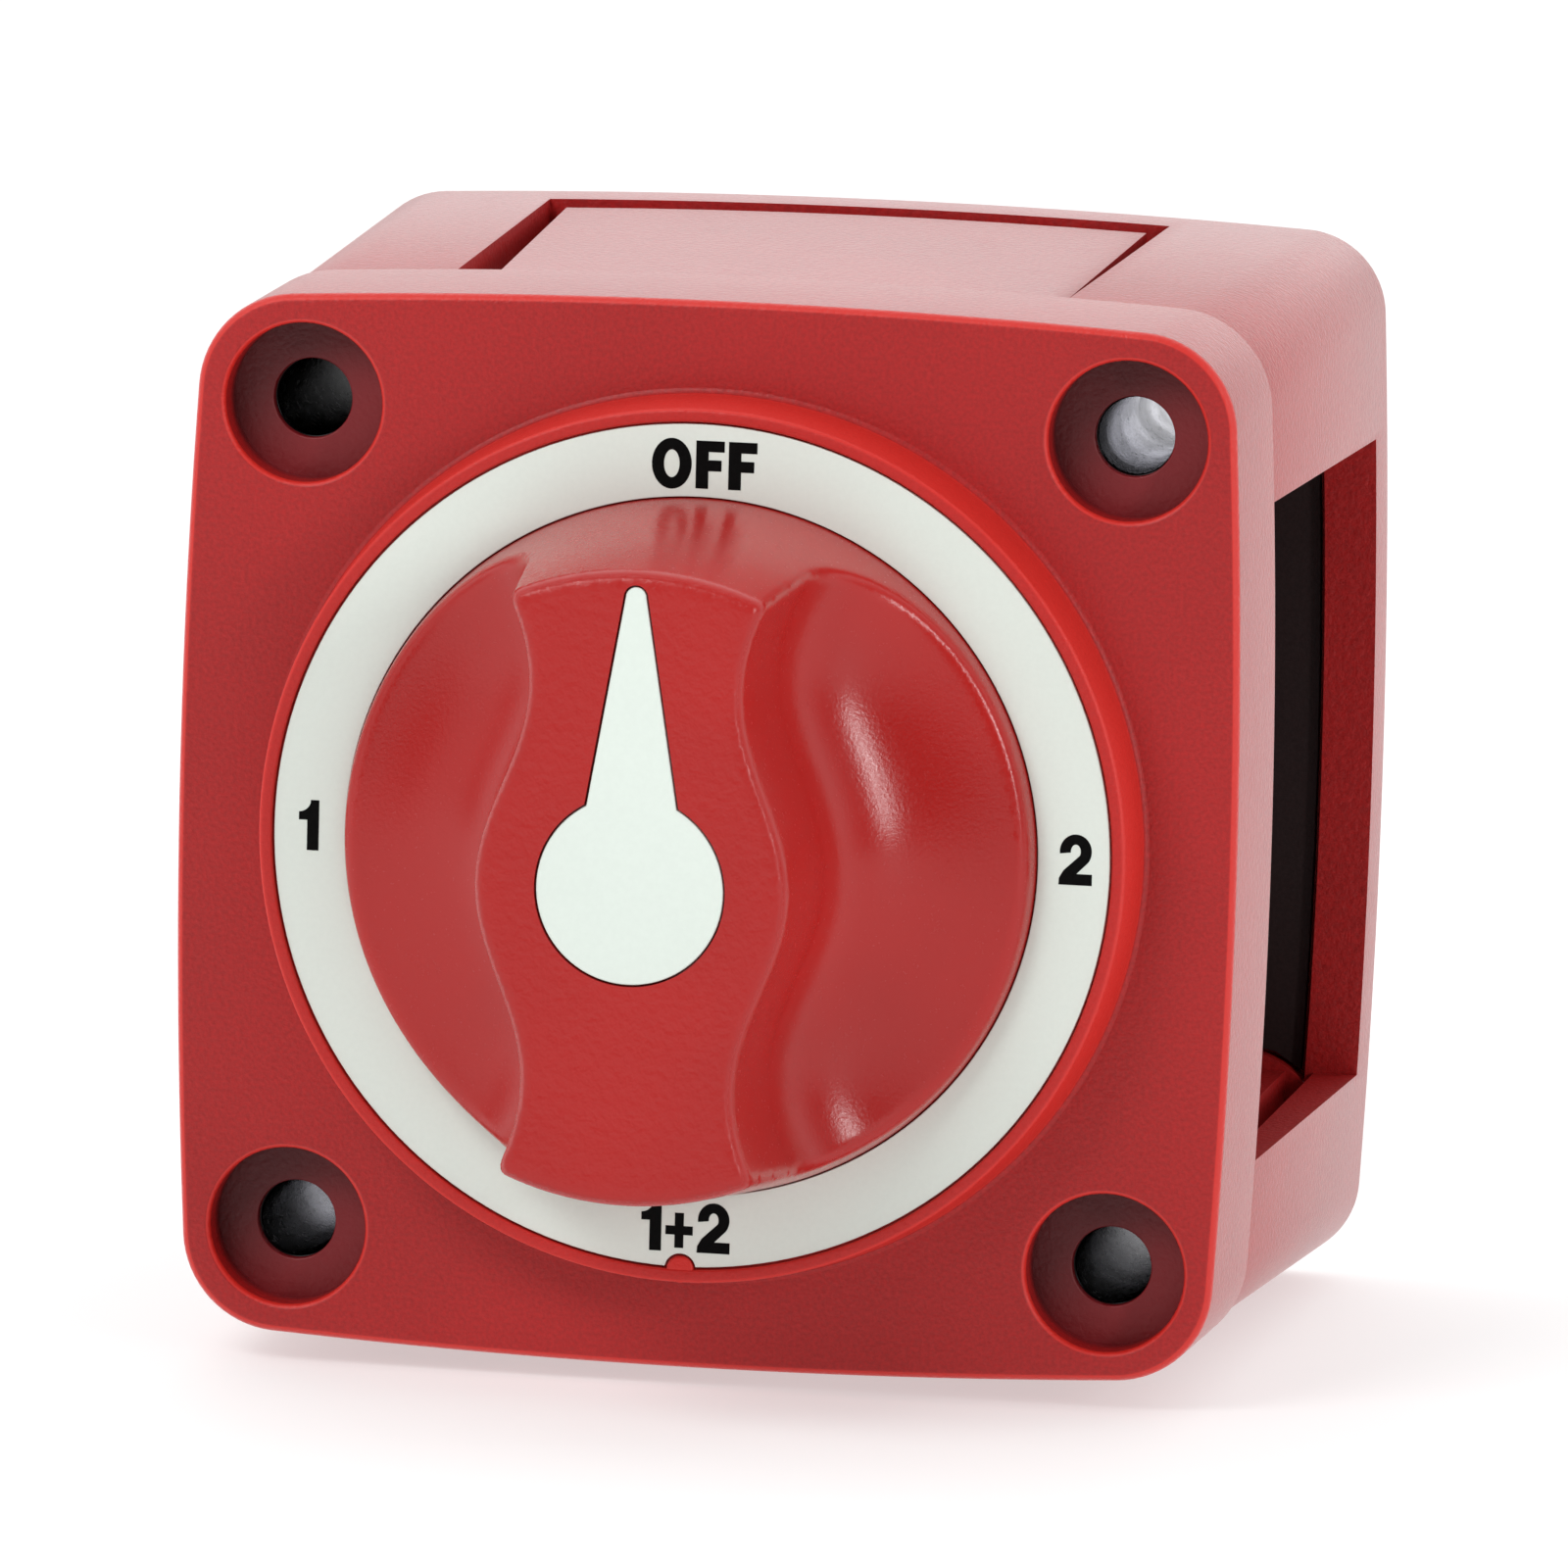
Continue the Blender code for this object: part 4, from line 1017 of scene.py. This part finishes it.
def groove_cutter(side):
    inner = INNER_HALF - GROOVE_DEPTH
    slot = box((inner, -GROOVE_HALF, WINDOW_BACK), (INNER_HALF + 0.1, GROOVE_HALF, PARTING + CLEAR))
    return turn_quarter(slot, side)


def rear_cover():
    """Back wall, four corner posts and an open cable window in each side, all in one moulding."""
    sections = rounded_edge(BACK_OUTLINE, 0, EDGE_ROUND, -1)[::-1]
    sections += rounded_edge(COVER_OUTLINE, COVER_TOP, SEAM_ROUND, 1, 3)
    hollow = prism(pillow(*INNER_OUTLINE), BACK_WALL, PARTING + CLEAR)
    posts = [cylinder(at, POST_RADIUS, BACK_WALL - CLEAR, PARTING + 2 * CLEAR) for at in HOLES.values()]
    body = cut(loft(sections), cut(hollow, *posts))
    body = cut(body, *[window_cutter(side) for side in range(4)])
    body = cut(body, *[groove_cutter(side) for side in range(4)])
    body = cut(body, *[cylinder(at, SLEEVE_BORE, -CLEAR, PARTING + CLEAR) for at in HOLES.values()])
    body = cut(body, *[cylinder(at, EJECTOR_RADIUS, -CLEAR, EJECTOR_DEPTH, 40) for at in ejector_places()])
    obj = finish_mesh("cover_shell", body, "housing", HOUSING_RED, ["rear_cover"], 30)
    ease_edges(obj, 0.18)


def ejector_places():
    """One mark in the middle, six round it and one at each side."""
    ring_of_six = [math.radians(30 + 60 * i) for i in range(6)]
    marks = [(EJECTOR_CIRCLE * math.cos(a), EJECTOR_CIRCLE * math.sin(a)) for a in ring_of_six]
    return [(0.0, 0.0), *marks, (-EJECTOR_SIDE, 0.0), (EJECTOR_SIDE, 0.0)]


def ease_edges(obj, width):
    """A small rounded bevel on every sharp edge."""
    modifier = obj.modifiers.new("eased_edges", "BEVEL")
    modifier.width = width * MM
    modifier.segments = 3
    modifier.limit_method = "ANGLE"
    modifier.angle_limit = math.radians(40)
    modifier.harden_normals = True


def plates():
    """The plates keep the CAD's shape, with their edges eased."""
    for node in ("side_plate_top", "side_plate_left", "side_plate_bottom"):
        mesh = NODES[node].data.copy()
        mesh.transform(SWITCH_AXES.inverted())
        name = "plate_" + node.split("_")[-1]
        piece = finish_mesh(name, mesh, "housing", HOUSING_RED, [node], 30)
        ease_edges(piece, 0.15)


# ---------------------------------------------------------------- knob pieces


def knob():
    """The moulded knob with its pointer pocket and its hollow, socketed underside."""
    reach = KNOB_BASE_RADIUS + 0.6
    lowest, highest = (-reach, -reach, KNOB_BOTTOM - 0.5), (reach, reach, KNOB_TOP + 0.5)
    skin = skin_of(knob_distance, lowest, highest, KNOB_STEP)
    pocket = prism(pointer_outline(POCKET_GAP), KNOB_TOP - POCKET_DEPTH, KNOB_TOP + CLEAR)
    low = KNOB_BOTTOM - CLEAR
    underside = ring(*UNDERSIDE_RADII, low, LABEL_TOP - LABEL_THICKNESS)
    socket = box((-SOCKET_HALF, -SOCKET_HALF, low), (SOCKET_HALF, SOCKET_HALF, SOCKET_TOP))
    head_hole = cylinder((0, 0), *HEAD_HOLE, KNOB_TOP)
    shank_hole = cylinder((0, 0), *SHANK_HOLE)
    body = cut(skin, pocket, underside, socket, head_hole, shank_hole)
    finish_mesh("grip_knob", body, "knob", KNOB_RED, ["knob"], 40)


def pointer():
    """The white pointer, pressed into the knob's top with its edge just eased."""
    bottom, top = KNOB_TOP - POCKET_DEPTH + POINTER_SINK, KNOB_TOP - POINTER_SINK
    sections = [at_height(pointer_outline(0), bottom)]
    for i in range(4):
        angle = math.pi / 2 * i / 3
        eased = pointer_outline(-POINTER_EDGE * (1 - math.cos(angle)))
        sections.append(at_height(eased, top - POINTER_EDGE * (1 - math.sin(angle))))
    finish_mesh("pointer", loft(sections), "knob", DIAL_WHITE, ["pointer_insert"], 50)


# ---------------------------------------------------------------- springs


def coil(radius, wire, start, end, turns=3, steps=40, around=14):
    """Round spring wire wound about z between start and end. wire is its own radius."""
    sections = []
    for i in range(turns * steps + 1):
        turn = 2 * math.pi * i / steps
        z = start + wire + (end - start - 2 * wire) * i / (turns * steps)
        section = []
        for k in range(around):
            a = 2 * math.pi * k / around
            reach = radius + wire * math.cos(a)
            section.append((reach * math.cos(turn), reach * math.sin(turn), z + wire * math.sin(a)))
        sections.append(section)
    return loft(sections)


def spring(name, node, body, joint, along, radius, wire):
    """A coil spring along an axis of the switch, wound from its near end to its far one."""
    along = Vector(along)
    low, high = (Vector(corner) for corner in local_box(node))
    near, far = sorted((along.dot(low), along.dot(high)))
    middle = (low + high) / 2
    foot = middle - along * along.dot(middle)
    mesh = coil(radius, wire, near, far)
    turned_to = Vector((0, 0, 1)).rotation_difference(along).to_matrix().to_4x4()
    mesh.transform(Matrix.Translation(foot) @ turned_to)
    piece = finish_mesh(name, mesh, body, STEEL, [node], 60)
    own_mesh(piece)


def springs():
    spring("blade_spring", "contact_spring", "knob", "blade_float", (0, 0, 1), *BLADE_SPRING)
    for side, sign in (("right", 1), ("left", -1)):
        name, node, joint = "plunger_spring_" + side, "detent_spring_" + side, "plunger_" + side + "_slide"
        spring(name, node, "housing", joint, (sign, 0, 0), *PLUNGER_SPRING)


# ---------------------------------------------------------------- set, light and camera


def plain(name, colour, roughness, glow):
    """A faintly clouded pale surface that glows a little."""
    material, tree, shader = start_material(name)
    cloud = mapped(tree, noise(tree, 0.004, 2), 0.3, 0.7, 0, 1)
    clouded = mixed_colour(tree, cloud, shade(colour, 0.99), shade(colour, 1.01))
    tree.links.new(clouded, shader.inputs["Base Color"])
    shader.inputs["Roughness"].default_value = roughness
    shader.inputs["Emission Color"].default_value = (1, 1, 1, 1)
    shader.inputs["Emission Strength"].default_value = glow
    return material


def floor():
    bm = bmesh.new()
    bmesh.ops.create_grid(bm, x_segments=2, y_segments=2, size=FLOOR_HALF)
    mesh = bpy.data.meshes.new("floor")
    bm.to_mesh(mesh)
    bm.free()
    obj = bpy.data.objects.new("floor", mesh)
    obj.location.z = cad_box[0].z - FLOOR_DROP
    mesh.materials.append(plain("floor_pale", (0.5, 0.5, 0.5), 0.7, FLOOR_GLOW))
    bpy.context.scene.collection.objects.link(obj)


def area_light(name, at, size, power):
    data = bpy.data.lights.new(name, "AREA")
    data.shape = "RECTANGLE"
    data.size, data.size_y = size
    data.energy = power
    light = bpy.data.objects.new(name, data)
    light.location = at
    light.rotation_euler = (Vector(LIGHTS_AIM) - Vector(at)).to_track_quat("-Z", "Y").to_euler()
    bpy.context.scene.collection.objects.link(light)


def world():
    """Soft studio surroundings: bright behind the object and above it, dimmer on the camera's side."""
    made = bpy.data.worlds.new("studio")
    bpy.context.scene.world = made
    made.use_nodes = True
    tree = made.node_tree
    background = tree.nodes["Background"]
    place = add(tree, "ShaderNodeTexCoord")
    parts = add(tree, "ShaderNodeSeparateXYZ", {0: place.outputs["Generated"]})
    behind = mapped(tree, parts.outputs["Y"], -0.35, 0.25, DIM_SIDE, BRIGHT_SIDE, smooth=True)
    above = mapped(tree, parts.outputs["Z"], 0.0, 0.6, 0, ABOVE)
    background.inputs["Color"].default_value = (1, 1, 1, 1)
    tree.links.new(math_node(tree, "ADD", behind, above), background.inputs["Strength"])


def lights():
    for name, placed in LIGHTS.items():
        area_light(name, *placed)


def camera():
    data = bpy.data.cameras.new("camera")
    data.lens = CAMERA_LENS
    data.sensor_width = CAMERA_SENSOR
    data.clip_start, data.clip_end = 0.05, 20
    obj = bpy.data.objects.new("camera", data)
    level = math.cos(CAMERA_ELEVATION)
    towards = Vector(
        (-math.sin(CAMERA_AZIMUTH) * level, math.cos(CAMERA_AZIMUTH) * level, -math.sin(CAMERA_ELEVATION))
    )
    turned_level = towards.to_track_quat("-Z", "Y").to_matrix()
    roll = Matrix.Rotation(CAMERA_ROLL, 3, "Z")
    obj.matrix_world = Matrix.Translation(CAMERA_AT) @ (turned_level @ roll).to_4x4()
    bpy.context.scene.collection.objects.link(obj)
    bpy.context.scene.camera = obj
    bpy.context.scene.view_settings.view_transform = "Standard"


dress_cad_nodes()
front_housing()
label()
dial_lettering()
sleeves()
rear_cover()
plates()
knob()
pointer()
springs()
floor()
world()
lights()
camera()
